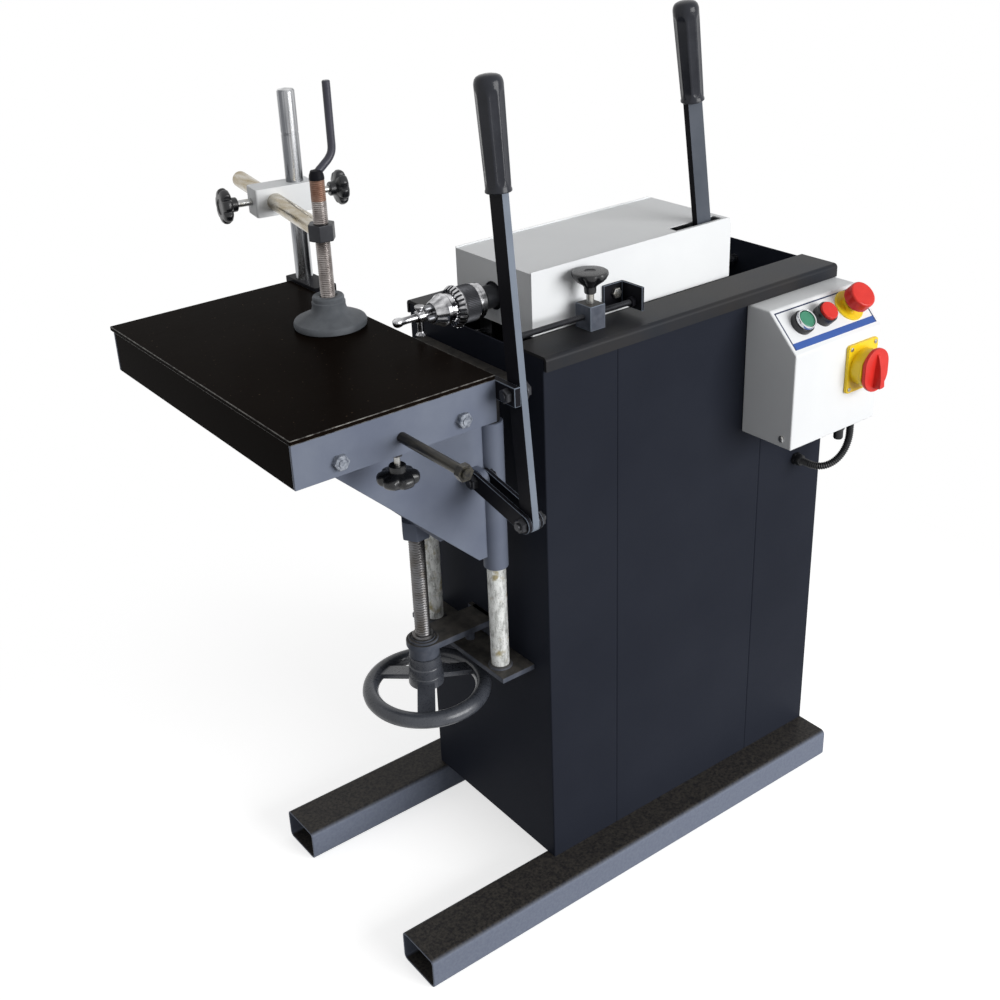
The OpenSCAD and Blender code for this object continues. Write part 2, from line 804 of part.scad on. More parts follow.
// Ribbed tube with a bore, along the conduit's route
module conduit() {
  arc_steps = 60;
  arc = [for (i = [0:arc_steps]) bend(i / arc_steps)];
  route = concat([route_start], arc, [route_end]);
  last = len(route) - 1;
  steps = [for (i = [0:last - 1]) norm(route[i + 1] - route[i])];
  lens = [for (i = 0, s = 0; i <= last; s = s + (i < last ? steps[i] : 0), i = i + 1) s];
  ribs = floor(lens[last] / rib_pitch);
  count = 2 * ribs;
  stations = [for (k = [0:count]) k * lens[last] / count];
  seg = [for (s = stations) max([for (i = [0:len(route) - 2]) lens[i] <= s + eps ? i : 0])];
  spots = [for (k = [0:count]) let (i = seg[k], f = (stations[k] - lens[i]) / (lens[i + 1] - lens[i]))
    route[i] * (1 - f) + route[i + 1] * f];
  ways = [for (k = [0:count]) k < 4 ? [0, 0, -1] : k > count - 4 ? [0, 1, 0]
    : spots[min(k + 1, count)] - spots[max(k - 1, 0)]];
  outer = [for (k = [0:count])
    each ring(spots[k], ways[k], k % 2 == 0 ? conduit_d / 2 - 0.8 : conduit_d / 2)];
  inner = [for (k = [0:count]) each ring(spots[k], ways[k], conduit_d / 2 - 1.8)];
  n = 8 * (count + 1);
  skin = [for (k = [0:count - 1], i = [0:7]) let (a = 8 * k, j = (i + 1) % 8)
    [a + i, a + j, a + 8 + j, a + 8 + i]];
  bore = [for (q = skin) [q[3] + n, q[2] + n, q[1] + n, q[0] + n]];
  caps = [for (i = [0:7]) let (j = (i + 1) % 8, e = 8 * count)
    each [[i, i + n, j + n, j], [e + i, e + j, e + j + n, e + i + n]]];
  color([0.06, 0.06, 0.07]) polyhedron(points = concat(outer, inner), faces = concat(skin, bore, caps));
}

// Gusset plate with its sleeve and slide bushes, near side, recessed for the lateral stop rod
module lift_bracket() {
  recess_x0 = guide_xs[1] + bush_d / 2 + 3;
  recess_x1 = guide_xs[0] - bush_d / 2 - 3;
  tip_x = guide_xs[1] - bush_d / 2 - 1;
  foot_x = rod_x - sleeve_d / 2 - 13;
  top_z = guide_z + bush_d / 2 + 1;
  difference() {
    union() {
      translate([0, gusset_thickness / 2 - rod_y, 0]) rotate([90, 0, 0]) linear_extrude(gusset_thickness)
        polygon([[rod_x - 14, sleeve_z0 + 20], [foot_x, sleeve_z0 + 20], [tip_x, guide_z - 12],
          [tip_x, top_z], [recess_x0, top_z], [recess_x0, skirt_z0], [recess_x1, skirt_z0],
          [recess_x1, top_z], [table_x1 - skirt - 9, top_z], [table_x1 - skirt - 9, skirt_z0 - 12],
          [rod_x - 14, sleeve_z1]]);
      bar_z(sleeve_z0, sleeve_z1, rod_x, -rod_y, sleeve_d / 2);
      for (x = guide_xs) bar_y(-rod_y - 15, 15 - rod_y, x, guide_z, bush_d / 2);
    }
    bar_z(sleeve_z0 - 1, sleeve_z1 + 1, rod_x, -rod_y, guide_rod_d / 2 + run_fit);
    for (x = guide_xs) bar_y(-rod_y - 20, 20 - rod_y, x, guide_z, cross_guide_d / 2 + run_fit);
  }
}

// Near bracket with the lug of the double link
module near_lift_bracket() {
  color([0.12, 0.12, 0.13]) difference() {
    union() {
      lift_bracket();
      span(lever_x0, lever_x1, anchor_y, gusset_y0 + eps, anchor_z - 13, anchor_z + 13);
      bar_x(lever_x0, lever_x1, anchor_y, anchor_z, 13);
    }
    bar_x(lever_x0 - 1, lever_x1 + 1, anchor_y, anchor_z, pin_d / 2);
  }
}

module far_lift_bracket() {
  color([0.12, 0.12, 0.13]) mirror([0, 1, 0]) lift_bracket();
}

// Cross bar between the gussets with the hexagon nut under it
module lift_nut() {
  bar_z0 = lift_nut_z + 27;
  inner_y = rod_y - gusset_thickness / 2;
  color([0.25, 0.25, 0.26]) difference() {
    union() {
      span(screw_x - 12, screw_x + 24, -inner_y, inner_y, bar_z0, bar_z0 + 10);
      translate([screw_x, 0, lift_nut_z])
        cylinder(h = bar_z0 - lift_nut_z + eps, d = lift_nut_width / cos(30), $fn = 6);
    }
    bar_z(lift_nut_z - 1, bar_z0 + 11, screw_x, 0, lift_screw_d / 2 + run_fit);
  }
}

// Frame of one link bar: Z runs from the lower pivot to the anchor
module on_link(x) {
  translate([x, pivot_y, lever_pivot_z])
    rotate([-atan2(anchor_y - pivot_y, anchor_z - lever_pivot_z), 0, 0]) children();
}

module link_bars() {
  link_l = norm([anchor_y - pivot_y, anchor_z - lever_pivot_z]);
  color([0.1, 0.1, 0.11])
    for (x = [lever_x0 - face_gap - link_t, lever_x1 + face_gap]) on_link(x) difference() {
      flat_link(link_l, table_bar_width, link_t);
      for (z = [0, link_l]) bar_x(-1, link_t + 1, 0, z, pin_d / 2);
    }
}

module link_bolts() {
  x0 = lever_x0 - face_gap - link_t;
  x1 = lever_x1 + face_gap + link_t;
  color([0.6, 0.6, 0.62]) for (p = [[pivot_y, lever_pivot_z], [anchor_y, anchor_z]]) {
    bar_x(x0 - 11, x1 + eps, p[0], p[1], pin_d / 2);
    hex_x(x0 - 8, x0, p[0], p[1], 17);
    hex_x(x1, x1 + 6, p[0], p[1], 17);
  }
}

module lift_screw() {
  color([0.55, 0.55, 0.57]) {
    bar_z(wheel_z + 9, lift_screw_z1, screw_x, 0, lift_screw_d / 2);
    bar_z(arm_z + 14 + face_gap, arm_z + 19, screw_x, 0, lift_screw_d / 2 + 4);
  }
}

// Rim, three flat spokes and hub
module handwheel() {
  rim_r = (wheel_d - rim_d) / 2;
  hub_z1 = arm_z - 17 - face_gap;
  spoke_rise = hub_z1 - 32 - wheel_z;
  spoke_tilt = atan2(spoke_rise, rim_r);
  color([0.08, 0.08, 0.09]) translate([screw_x, 0, 0]) difference() {
    union() {
      translate([0, 0, wheel_z]) rotate_extrude() translate([rim_r, 0, 0]) circle(d = rim_d);
      bar_z(wheel_z + 9, hub_z1, 0, 0, lift_screw_d / 2 + 14);
      for (a = [115, 235, 355]) rotate([0, 0, a]) translate([rim_r, 0, wheel_z]) rotate([0, spoke_tilt, 0])
        span(16 - rim_r, 0, -12.5, 12.5, -4, 4);
    }
    bar_z(wheel_z - 30, hub_z1 + 1, 0, 0, lift_screw_d / 2);
  }
}

module table_top() {
  color([0.05, 0.05, 0.06]) span(table_x0, table_x1, table_y0, table_y1, table_z0, table_z1);
}

// Skirt frame with the lever's lug, the column holder and the clamp of the lateral stop rod
module table_frame() {
  x0 = table_x0 + table_overhang;
  holder_y0 = column_y - 57;
  holder_y1 = column_y + 29;
  color([0.3, 0.31, 0.33]) difference() {
    union() {
      difference() {
        span(x0, table_x1, table_y0, skirt_y1, skirt_z0, table_z0);
        span(x0 + skirt, table_x1 - skirt, table_y0 + skirt, skirt_y1 - skirt, skirt_z0 - 1, table_z0 + 1);
      }
      span(table_x1 - eps, lug_x1, bolt_y - 14, bolt_y + 80, drive_bolt_z - 12.5, drive_bolt_z + 12.5);
      span(table_x1 - eps, column_x + column_d / 2 + 7, holder_y0, holder_y1, skirt_z0, table_z1 + 5);
      span(side_rod_x - 15, side_rod_x + 15, table_y0 + skirt - eps, table_y0 + skirt + 21, skirt_z0 - 1,
        side_rod_z + 16);
    }
    bar_x(table_x1 - 1, lug_x1 + 1, bolt_y, drive_bolt_z, pin_d / 2);
    bar_z(skirt_z0 - 1, table_z1 + 6, column_x, column_y, column_d / 2);
    bar_y(table_y0 - 1, table_y0 + skirt + 22, side_rod_x, side_rod_z, side_rod_d / 2 + run_fit);
    bar_z(skirt_z0 - 2, side_rod_z, side_rod_x, lock_y, 4 + run_fit);
  }
}

module table_guide_rods() {
  color([0.72, 0.72, 0.74])
    for (x = guide_xs) bar_y(table_y0 + skirt, skirt_y1 - skirt, x, guide_z, cross_guide_d / 2);
}

module guide_rod_bolts() {
  color([0.45, 0.45, 0.47]) for (x = guide_xs) {
    hex_y(table_y0 - 8, table_y0, x, guide_z, 19);
    hex_y(skirt_y1, skirt_y1 + 8, x, guide_z, 19);
  }
}

module lever_bolt() {
  color([0.6, 0.6, 0.62]) {
    bar_x(table_x1 - 3, lever_x1 + 9, bolt_y, drive_bolt_z, pin_d / 2);
    hex_x(table_x1 - 9, table_x1 - eps, bolt_y, drive_bolt_z, 17);
    bar_x(lever_x1 + face_gap, lever_x1 + 3, bolt_y, drive_bolt_z, 13);
    hex_x(lever_x1 + 3 - eps, lever_x1 + 9, bolt_y, drive_bolt_z, 17);
  }
}

module hold_down_column() {
  groove_z = column_z1 - 59;
  color([0.72, 0.72, 0.74]) difference() {
    bar_z(skirt_z0, column_z1, column_x, column_y, column_d / 2);
    difference() {
      bar_z(groove_z - 1.5, groove_z + 1.5, column_x, column_y, column_d);
      bar_z(groove_z - 2, groove_z + 2, column_x, column_y, column_d / 2 - 1);
    }
  }
}

module lateral_stop_rod() {
  color([0.6, 0.6, 0.62]) {
    bar_y(side_rod_y0, side_rod_y0 + side_rod_length, side_rod_x, side_rod_z, side_rod_d / 2);
    difference() {
      hex_y(side_rod_y0 + 3, side_rod_y0 + 14, side_rod_x, side_rod_z, 20);
      bar_y(side_rod_y0 + 2, side_rod_y0 + 15, side_rod_x, side_rod_z, side_rod_d / 2 + run_fit);
    }
  }
}

module table_lock_knob() {
  top = side_rod_z - side_rod_d / 2 - 1;
  color([0.06, 0.06, 0.07]) translate([side_rod_x, lock_y, 0]) {
    bar_z(skirt_z0 - 19, top, 0, 0, 4);
    translate([0, 0, skirt_z0 - 19]) mirror([0, 0, 1]) lobed_knob(lock_knob_d, 24);
  }
}

// Bar with a bore at the pivot, a slot for the drive bolt and a round tang for the grip
module table_lever() {
  slot_w = pin_d + 3.4;
  color([0.12, 0.12, 0.13]) on_table_lever() difference() {
    union() {
      bar_x(0, bar_thickness, 0, 0, table_bar_width / 2);
      translate([0, -table_bar_width / 2, 0]) cube([bar_thickness, table_bar_width, table_bar_length]);
      bar_z(table_bar_length - eps, table_bar_length + tang_length, bar_thickness / 2, 0, 7);
    }
    bar_x(-1, bar_thickness + 1, 0, 0, pin_d / 2 + run_fit);
    for (z = [bolt_l - 1, bolt_l + 10.5]) bar_x(-1, bar_thickness + 1, 0, z, slot_w / 2);
    span(-1, bar_thickness + 1, -slot_w / 2, slot_w / 2, bolt_l - 1, bolt_l + 10.5);
  }
}

module table_lever_grip() {
  color([0.06, 0.06, 0.07])
    on_table_lever() translate([bar_thickness / 2, 0, table_bar_length]) lever_grip();
}

// White block on the column, bored for the column, the cross rod and both knob studs
module clamp_block() {
  z0 = cross_rod_z - block_height / 2;
  color([0.85, 0.86, 0.87]) on_column() difference() {
    span(block_x0, block_x0 + block_length, -block_depth / 2, block_depth / 2, z0, z0 + block_height);
    bar_z(z0 - 1, z0 + block_height + 1, 0, 0, column_d / 2 + run_fit);
    bar_y(-block_depth, block_depth, cross_x, cross_rod_z, cross_rod_d / 2 + run_fit);
    bar_x(block_x0 - 1, cross_x, 0, cross_rod_z, 5 + run_fit);
    bar_x(0, block_x0 + block_length + 1, 0, cross_rod_z, 5 + run_fit);
  }
}

module rod_knob() {
  color([0.06, 0.06, 0.07]) on_column() {
    bar_x(block_x0 - 24, cross_x - cross_rod_d / 2 - 0.6, 0, cross_rod_z, 5);
    translate([block_x0 - 23, 0, cross_rod_z]) rotate([0, -90, 0]) lobed_knob(clamp_knob_d, 24);
  }
}

module column_knob() {
  x1 = block_x0 + block_length;
  color([0.06, 0.06, 0.07]) on_column() {
    bar_x(column_d / 2 + 0.6, x1 + 30, 0, cross_rod_z, 5);
    translate([x1 + 29, 0, cross_rod_z]) rotate([0, 90, 0]) lobed_knob(clamp_knob_d, 24);
  }
}

// Cross rod with the hexagon nut at its end
module cross_rod() {
  color([0.7, 0.7, 0.72]) on_column() difference() {
    union() {
      bar_y(screw_off + nut_flats / 2 - 2, screw_off + 20 + cross_rod_length, cross_x, cross_rod_z,
        cross_rod_d / 2);
      translate([cross_x, screw_off, cross_rod_z - nut_height / 2])
        cylinder(h = nut_height, d = nut_flats / cos(30), $fn = 6);
    }
    bar_z(cross_rod_z - nut_flats, cross_rod_z + nut_flats, cross_x, screw_off, clamp_screw_d / 2 + run_fit);
  }
}

module clamp_pad() {
  r = clamp_screw_d / 2 + run_fit;
  color([0.1, 0.1, 0.11]) on_clamp_screw() translate([0, 0, table_z1]) rotate_extrude()
    polygon([[0, 0], [pad_d / 2 - 2, 0], [pad_d / 2, 2], [pad_d / 2, 7], [pad_d / 2 - 4, 11], [27, 19],
      [r + 12, 27], [r + 12, pad_height], [r, pad_height], [r, 18], [0, 18]]);
}

// Threaded spindle with its bent crank
module clamp_screw() {
  top = cross_rod_z + clamp_screw_over;
  bend_z = top + crank_throw;
  color([0.5, 0.5, 0.52]) on_clamp_screw() {
    bar_z(table_z1 + 18 + face_gap, top, 0, 0, clamp_screw_d / 2);
    translate([0, 0, top - 2]) rotate([0, atan2(crank_throw, bend_z - top + 2), 0])
      cylinder(h = norm([crank_throw, bend_z - top + 2]), d = crank_d);
    translate([crank_throw, 0, bend_z]) sphere(d = crank_d + 0.8);
    bar_z(bend_z, bend_z + crank_length, crank_throw, 0, crank_d / 2);
  }
}

// Sliding plate with its four bush blocks, the motor web and the lever's drive pin
module head_plate() {
  tongue_y = lever_y - bar_thickness / 2 - 2.5;
  color([0.35, 0.35, 0.37]) difference() {
    union() {
      span(plate_x0, plate_x1, -plate_y, plate_y, plate_z0, plate_z1);
      for (x = [plate_x0 + bush_inset, plate_x0 + bush_inset + bush_pitch], y = [-slide_y, slide_y])
        span(x, x + bush_length, y - 13.5, y + 13.5, slide_z - 15, plate_z0 + eps);
      span(motor_x0 + 20, motor_x1 - 20, -18, 18, motor_z + motor_d / 2 - 6, plate_z0 + eps);
      span(plate_x1 - eps, drive_x + 18, -plate_y, tongue_y, drive_z - 14, plate_z1);
      bar_y(tongue_y - eps, lever_y + bar_thickness / 2 + 1.5, drive_x, drive_z, pin_d / 2);
    }
    for (y = [-slide_y, slide_y]) bar_x(plate_x0, plate_x1, y, slide_z, slide_rod_d / 2 + run_fit);
    span(belt_x - pulley_width / 2 - 6, belt_x + pulley_width / 2 + 6, -pulley_d / 2 - 5, pulley_d / 2 + 5,
      plate_z0 - 1, plate_z1 + 1);
    bar_x(motor_x0 - 1, motor_x1 + 1, 0, motor_z, motor_d / 2);
  }
}

// Tube housing on its pedestal, with a narrow nose and two bearing seats
module spindle_housing() {
  color([0.16, 0.16, 0.18]) difference() {
    union() {
      bar_x(housing_x0, housing_x1, 0, spindle_z, housing_d / 2);
      bar_x(nose_x0, housing_x0 + eps, 0, spindle_z, nose_d / 2);
      span(plate_x0 + 10, housing_x1 - 5, -housing_d / 2 - 2, housing_d / 2 + 2, plate_z1,
        spindle_z - housing_d / 2 + 6);
    }
    bar_x(nose_x0 - 1, housing_x1 + 1, 0, spindle_z, spindle_d / 2 + 1);
    bar_x(housing_x0 + 6, housing_x0 + 6 + bearing_width, 0, spindle_z, bearing_d / 2);
    bar_x(housing_x0 + 6 + bearing_width - eps, housing_x1 - bearing_width + eps, 0, spindle_z,
      bearing_d / 2 - 3);
    bar_x(housing_x1 - bearing_width, housing_x1 + 1, 0, spindle_z, bearing_d / 2);
  }
}

module spindle_bearings() {
  color([0.6, 0.6, 0.63]) for (x = [housing_x0 + 6, housing_x1 - bearing_width]) difference() {
    bar_x(x, x + bearing_width, 0, spindle_z, bearing_d / 2);
    bar_x(x - 1, x + bearing_width + 1, 0, spindle_z, spindle_d / 2 + run_fit);
  }
}

// Grooved pulley on the X axis, centred at its mid-plane
module pulley(bore) {
  w = pulley_width / 2;
  g = belt_width / 2 + face_gap;
  rotate([0, 90, 0]) rotate_extrude() polygon([[bore, -w], [pulley_d / 2, -w], [pulley_d / 2, -g],
    [groove_r - pass_gap, -g], [groove_r - pass_gap, g], [pulley_d / 2, g], [pulley_d / 2, w], [bore, w]]);
}

// Shaft with its pulley and the stub that carries the chuck
module spindle() {
  color([0.6, 0.6, 0.62]) {
    bar_x(chuck_x, belt_x + pulley_width / 2 + 3, 0, spindle_z, spindle_d / 2);
    bar_x(chuck_x - 24, chuck_x + eps, 0, spindle_z, 8);
    translate([belt_x, 0, spindle_z]) pulley(spindle_d / 2 - 1);
  }
}

// Loop round a pair of pulleys, at distance r from their axes
module belt_loop(r, w) {
  bar_x(belt_x - w / 2, belt_x + w / 2, 0, spindle_z, r);
  bar_x(belt_x - w / 2, belt_x + w / 2, 0, motor_z, r);
  span(belt_x - w / 2, belt_x + w / 2, -r, r, motor_z, spindle_z);
}

module drive_belt() {
  color([0.05, 0.05, 0.05]) difference() {
    belt_loop(groove_r + belt_thickness, belt_width);
    belt_loop(groove_r, belt_width + 2);
  }
}

module motor() {
  color([0.25, 0.28, 0.32]) difference() {
    union() {
      bar_x(motor_x0, motor_x1, 0, motor_z, motor_d / 2);
      bar_x(motor_x1 - eps, motor_x1 + 8, 0, motor_z, motor_d / 4);
      span(motor_x0 + 50, motor_x0 + 120, motor_d / 2 - 10, motor_d / 2 + 24, motor_z - 30, motor_z + 30);
    }
    bar_x(motor_x1 - 22, motor_x1 + 9, 0, motor_z, motor_shaft_d / 2 + run_fit);
  }
}

module motor_pulley() {
  color([0.4, 0.4, 0.42]) {
    bar_x(motor_x1 - 20, belt_x + pulley_width / 2 + 3, 0, motor_z, motor_shaft_d / 2);
    translate([belt_x, 0, motor_z]) pulley(motor_shaft_d / 2 - 1);
  }
}

// Sheet box over the head, open below, with a spindle hole and the lever slot
module head_cover() {
  s = cover_sheet;
  color([0.85, 0.87, 0.9]) difference() {
    union() {
      span(cover_x0, cover_x1, -cover_y, cover_y, plate_z0, cover_z1);
      for (y = [-cover_y, cover_y - s]) span(cover_x0, cover_x1, y, y + s, plate_z0, cover_z1 + cover_lip);
    }
    span(cover_x0 + s, cover_x1 - s, s - cover_y, cover_y - s, plate_z0 - 1, cover_z1 - s);
    bar_x(cover_x0 - 1, cover_x0 + s + 1, 0, spindle_z, nose_d / 2 + 4);
    span(lever_slot_x + slot_tail - slot_length, lever_slot_x + slot_tail, lever_y - slot_width / 2,
      lever_y + slot_width / 2, cover_z1 - s - 1, cover_z1 + 1);
  }
}

// Angle on the cover's near face that carries the stop rod
module stop_bracket() {
  t = stop_leg_t;
  z0 = stop_z - 10;
  color([0.1, 0.1, 0.11]) difference() {
    union() {
      span(stop_leg_x - 32, stop_leg_x + t, -cover_y - t, -cover_y, z0, z0 + 36);
      span(stop_leg_x, stop_leg_x + t, stop_y - 17, -cover_y, z0, z0 + 33);
      hex_y(-cover_y - t - 5, -cover_y - t + eps, stop_leg_x - 12, z0 + 20, 13);
    }
    bar_x(stop_leg_x - 1, stop_leg_x + t + 1, stop_y, stop_z, stop_rod_d / 2);
  }
}

// Threaded rod with its lock nuts
module stop_rod() {
  nut_x = [stop_rod_x0 + 4, stop_rod_x0 + 11, stop_leg_x - stop_nut];
  color([0.6, 0.6, 0.62]) {
    bar_x(stop_rod_x0, stop_rod_x0 + stop_rod_length, stop_y, stop_z, stop_rod_d / 2);
    for (x = nut_x) difference() {
      hex_x(x, x + stop_nut, stop_y, stop_z, stop_rod_d * 1.6);
      bar_x(x - 1, x + stop_nut + 1, stop_y, stop_z, stop_rod_d / 2 + run_fit);
    }
  }
}

// Turned chuck body with three key holes, bored for the spindle stub
module chuck_body() {
  core = chuck_d / 2 - 7;
  color([0.5, 0.5, 0.52]) translate([0, 0, spindle_z]) difference() {
    rotate([0, -90, 0]) rotate_extrude() polygon([[8, -chuck_x], [chuck_d / 2 - 2, -chuck_x],
      [chuck_d / 2, 2 - chuck_x], [chuck_d / 2, -sleeve_x0], [core, -sleeve_x0], [core, -sleeve_x1],
      [chuck_d / 2 - 2, -sleeve_x1], [chuck_d / 2 - 2, 12 - sleeve_x1], [chuck_nose_d / 2, -chuck_x1],
      [key_pilot_d / 2 + 1, -chuck_x1], [key_pilot_d / 2 + 1, -chuck_x1 - 8], [0, -chuck_x1 - 8],
      [0, 24 - chuck_x], [8, 24 - chuck_x]]);
    for (a = [30, 150, 270]) rotate([a, 0, 0]) bar_z(14, 30, sleeve_x1 - 7, 0, 3.5);
  }
}

// Turning sleeve with its toothed ring
module chuck_sleeve() {
  bore = chuck_d / 2 - 7 + run_fit;
  color([0.55, 0.55, 0.57]) translate([0, 0, spindle_z]) difference() {
    union() {
      bar_x(ring_x0 - eps, sleeve_x0 - face_gap, 0, 0, chuck_d / 2 + 1);
      bar_x(sleeve_x1 + face_gap, ring_x0, 0, 0, ring_d / 2);
    }
    bar_x(sleeve_x1 - 1, sleeve_x0 + 1, 0, 0, bore);
    for (i = [0:ring_teeth - 1]) rotate([i * 360 / ring_teeth, 0, 0])
      span(sleeve_x1 - 1, sleeve_x1 + 7, -1.4, 1.4, ring_d / 2 - 5, ring_d / 2 + 2);
  }
}

module chuck_jaws() {
  color([0.35, 0.35, 0.37]) translate([0, 0, spindle_z]) for (a = [90, 210, 330]) rotate([a, 0, 0])
    bar_x(jaw_x1, chuck_x1, 0, (key_pilot_d + jaw_d) / 2, jaw_d / 2);
}

// Chuck key gripped by its pilot: head, cross bar, shank and ball end
module chuck_key() {
  color([0.62, 0.62, 0.64]) translate([0, 0, spindle_z]) {
    bar_x(jaw_x1 - 1, chuck_x1 + 4, 0, 0, key_pilot_d / 2);
    bar_x(jaw_x1 - key_length, jaw_x1 - 1 + eps, 0, 0, 5);
    bar_x(jaw_x1 - 12, jaw_x1 - 1, 0, 0, 8);
    bar_z(-key_bar_length / 2 - 6, key_bar_length / 2 - 6, jaw_x1 - 6, 0, 3.5);
    translate([jaw_x1 - key_length, 0, 0]) sphere(r = 6.5);
  }
}

// Bar with a bore at the fulcrum, a slot for the drive pin and a round tang for the grip
module head_lever() {
  slot_w = pin_d + 2.6;
  t = bar_thickness / 2;
  color([0.12, 0.12, 0.13]) on_head_lever() difference() {
    union() {
      bar_y(-t, t, 0, 0, head_bar_width / 2);
      span(-head_bar_width / 2, head_bar_width / 2, -t, t, 0, head_bar_length);
      bar_z(head_bar_length - eps, head_bar_length + tang_length, 0, 0, 7);
    }
    bar_y(-t - 1, t + 1, 0, 0, fulcrum_pin_d / 2 + run_fit);
    for (z = [drive_l - 4, drive_l + 10.5]) bar_y(-t - 1, t + 1, 0, z, slot_w / 2);
    span(-slot_w / 2, slot_w / 2, -t - 1, t + 1, drive_l - 4, drive_l + 10.5);
  }
}

module head_lever_grip() {
  color([0.06, 0.06, 0.07]) on_head_lever() translate([0, 0, head_bar_length]) lever_grip();
}

foot_tubes();
front_panel();
rear_panel();
near_side_panel();
far_side_panel();
top_rails();
slide_rods();
lift_supports();
guide_rods();
fulcrum_bracket();
stop_block();
control_box();
button_bezels();
isolator_plate();
cable_glands();
conduit();
near_lift_bracket();
far_lift_bracket();
lift_nut();
link_bars();
link_bolts();
lift_screw();
handwheel();
table_top();
table_frame();
table_guide_rods();
guide_rod_bolts();
lever_bolt();
hold_down_column();
lateral_stop_rod();
table_lock_knob();
table_lever();
table_lever_grip();
clamp_block();
rod_knob();
column_knob();
cross_rod();
clamp_pad();
clamp_screw();
head_plate();
spindle_housing();
spindle_bearings();
drive_belt();
motor();
head_cover();
stop_bracket();
stop_rod();
spindle();
chuck_body();
chuck_sleeve();
chuck_jaws();
chuck_key();
motor_pulley();
head_lever();
head_lever_grip();
stop_knob();
start_button();
stop_button();
estop_button();
isolator_handle();
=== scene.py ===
import math

import bmesh
import bpy
from mathutils import Matrix, Vector


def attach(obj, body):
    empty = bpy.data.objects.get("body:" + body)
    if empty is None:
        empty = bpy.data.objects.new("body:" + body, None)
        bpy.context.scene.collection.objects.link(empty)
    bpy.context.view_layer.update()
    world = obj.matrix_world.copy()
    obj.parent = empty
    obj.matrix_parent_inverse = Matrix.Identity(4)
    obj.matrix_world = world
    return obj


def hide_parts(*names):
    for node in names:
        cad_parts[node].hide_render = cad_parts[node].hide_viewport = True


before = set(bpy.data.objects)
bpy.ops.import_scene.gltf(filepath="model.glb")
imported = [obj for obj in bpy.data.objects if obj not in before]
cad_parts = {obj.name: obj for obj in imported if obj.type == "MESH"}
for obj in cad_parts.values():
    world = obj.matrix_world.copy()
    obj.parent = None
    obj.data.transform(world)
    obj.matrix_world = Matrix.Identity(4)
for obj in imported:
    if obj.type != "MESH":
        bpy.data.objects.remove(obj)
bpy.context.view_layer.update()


# Feet: two cold-formed rectangular steel tubes, 75 x 50 x 3 mm, sawn square and left open. They are powder
# coated slate grey with tops painted darker as shade, and the cabinet is welded on top of them.
def srgb(code):
    """Linear colour of an sRGB hex code."""
    parts = [int(code[i:i + 2], 16) / 255 for i in (1, 3, 5)]
    return tuple(c / 12.92 if c < 0.04045 else ((c + 0.055) / 1.055) ** 2.4 for c in parts) + (1.0,)


def add(tree, kind, inputs=None, **settings):
    """A node with its settings; each input takes a value or the socket that feeds it."""
    made = tree.nodes.new(kind)
    for name, value in settings.items():
        setattr(made, name, value)
    for name, value in (inputs or {}).items():
        if isinstance(value, bpy.types.NodeSocket):
            tree.links.new(value, made.inputs[name])
        else:
            made.inputs[name].default_value = value
    return made


def open_material(name):
    """A new material, its emptied tree and where each point of the piece is, in metres."""
    material = bpy.data.materials.new(name)
    material.use_nodes = True
    tree = material.node_tree
    tree.nodes.clear()
    return material, tree, add(tree, "ShaderNodeTexCoord").outputs["Object"]


def close_material(tree, inputs):
    """Ends the tree in one shader with those inputs."""
    shader = add(tree, "ShaderNodeBsdfPrincipled", inputs)
    add(tree, "ShaderNodeOutputMaterial", {"Surface": shader.outputs[0]})


def surface(name, colour, second, roughness, grain_mm, grain_um, cloud_mm=90, metallic=0.0,
            specular=0.5, spread=0.06, top=None):
    """A finish with clouds of a second tone, and a grain of that height that also dulls it; sizes in mm.
    Faces that look up may take two tones of their own, which darken them as painted shade."""
    material, tree, place = open_material(name)
    noises = []
    for size, detail in ((grain_mm, 2.0), (cloud_mm, 5.0)):
        size = size if isinstance(size, tuple) else (size,) * 3
        run = add(tree, "ShaderNodeMapping", {"Vector": place, "Scale": [1000 / mm for mm in size]})
        noise = add(tree, "ShaderNodeTexNoise", {"Vector": run.outputs[0], "Scale": 1.0, "Detail": detail,
                                                 "Roughness": 0.55})
        noises.append(noise.outputs["Fac"])
    grain, clouds = noises
    patch = add(tree, "ShaderNodeMapRange", {"Value": clouds, "From Min": 0.35, "From Max": 0.65})
    tone = add(tree, "ShaderNodeMix", {0: patch.outputs[0], 6: srgb(colour), 7: srgb(second)},
               data_type="RGBA")
    # Faces that look up take the top tones: a painted shade, darker than the sides.
    if top:
        lying = add(tree, "ShaderNodeMix", {0: patch.outputs[0], 6: srgb(top[0]), 7: srgb(top[1])},
                    data_type="RGBA")
        facing = add(tree, "ShaderNodeSeparateXYZ", {0: add(tree, "ShaderNodeNewGeometry").outputs["Normal"]})
        painted_top_shade = add(tree, "ShaderNodeMapRange", {"Value": facing.outputs["Z"], "From Min": 0.45,
                                                  "From Max": 0.97})
        tone = add(tree, "ShaderNodeMix", {0: painted_top_shade.outputs[0], 6: tone.outputs[2], 7: lying.outputs[2]},
                   data_type="RGBA")
    sheen = add(tree, "ShaderNodeMapRange", {"Value": grain, "From Min": 0.3, "From Max": 0.7,
                                             "To Min": roughness - spread, "To Max": roughness + spread})
    relief = add(tree, "ShaderNodeBump", {"Height": grain, "Distance": grain_um * 1e-6})
    close_material(tree, {"Base Color": tone.outputs[2], "Roughness": sheen.outputs[0],
                          "Normal": relief.outputs[0], "Metallic": metallic, "Specular IOR Level": specular})
    return material


def arc(cx, cy, r, start, end, steps):
    """Points on an arc, angles in degrees."""
    turns = [math.radians(start + (end - start) * i / steps) for i in range(steps + 1)]
    return [(cx + r * math.cos(t), cy + r * math.sin(t)) for t in turns]


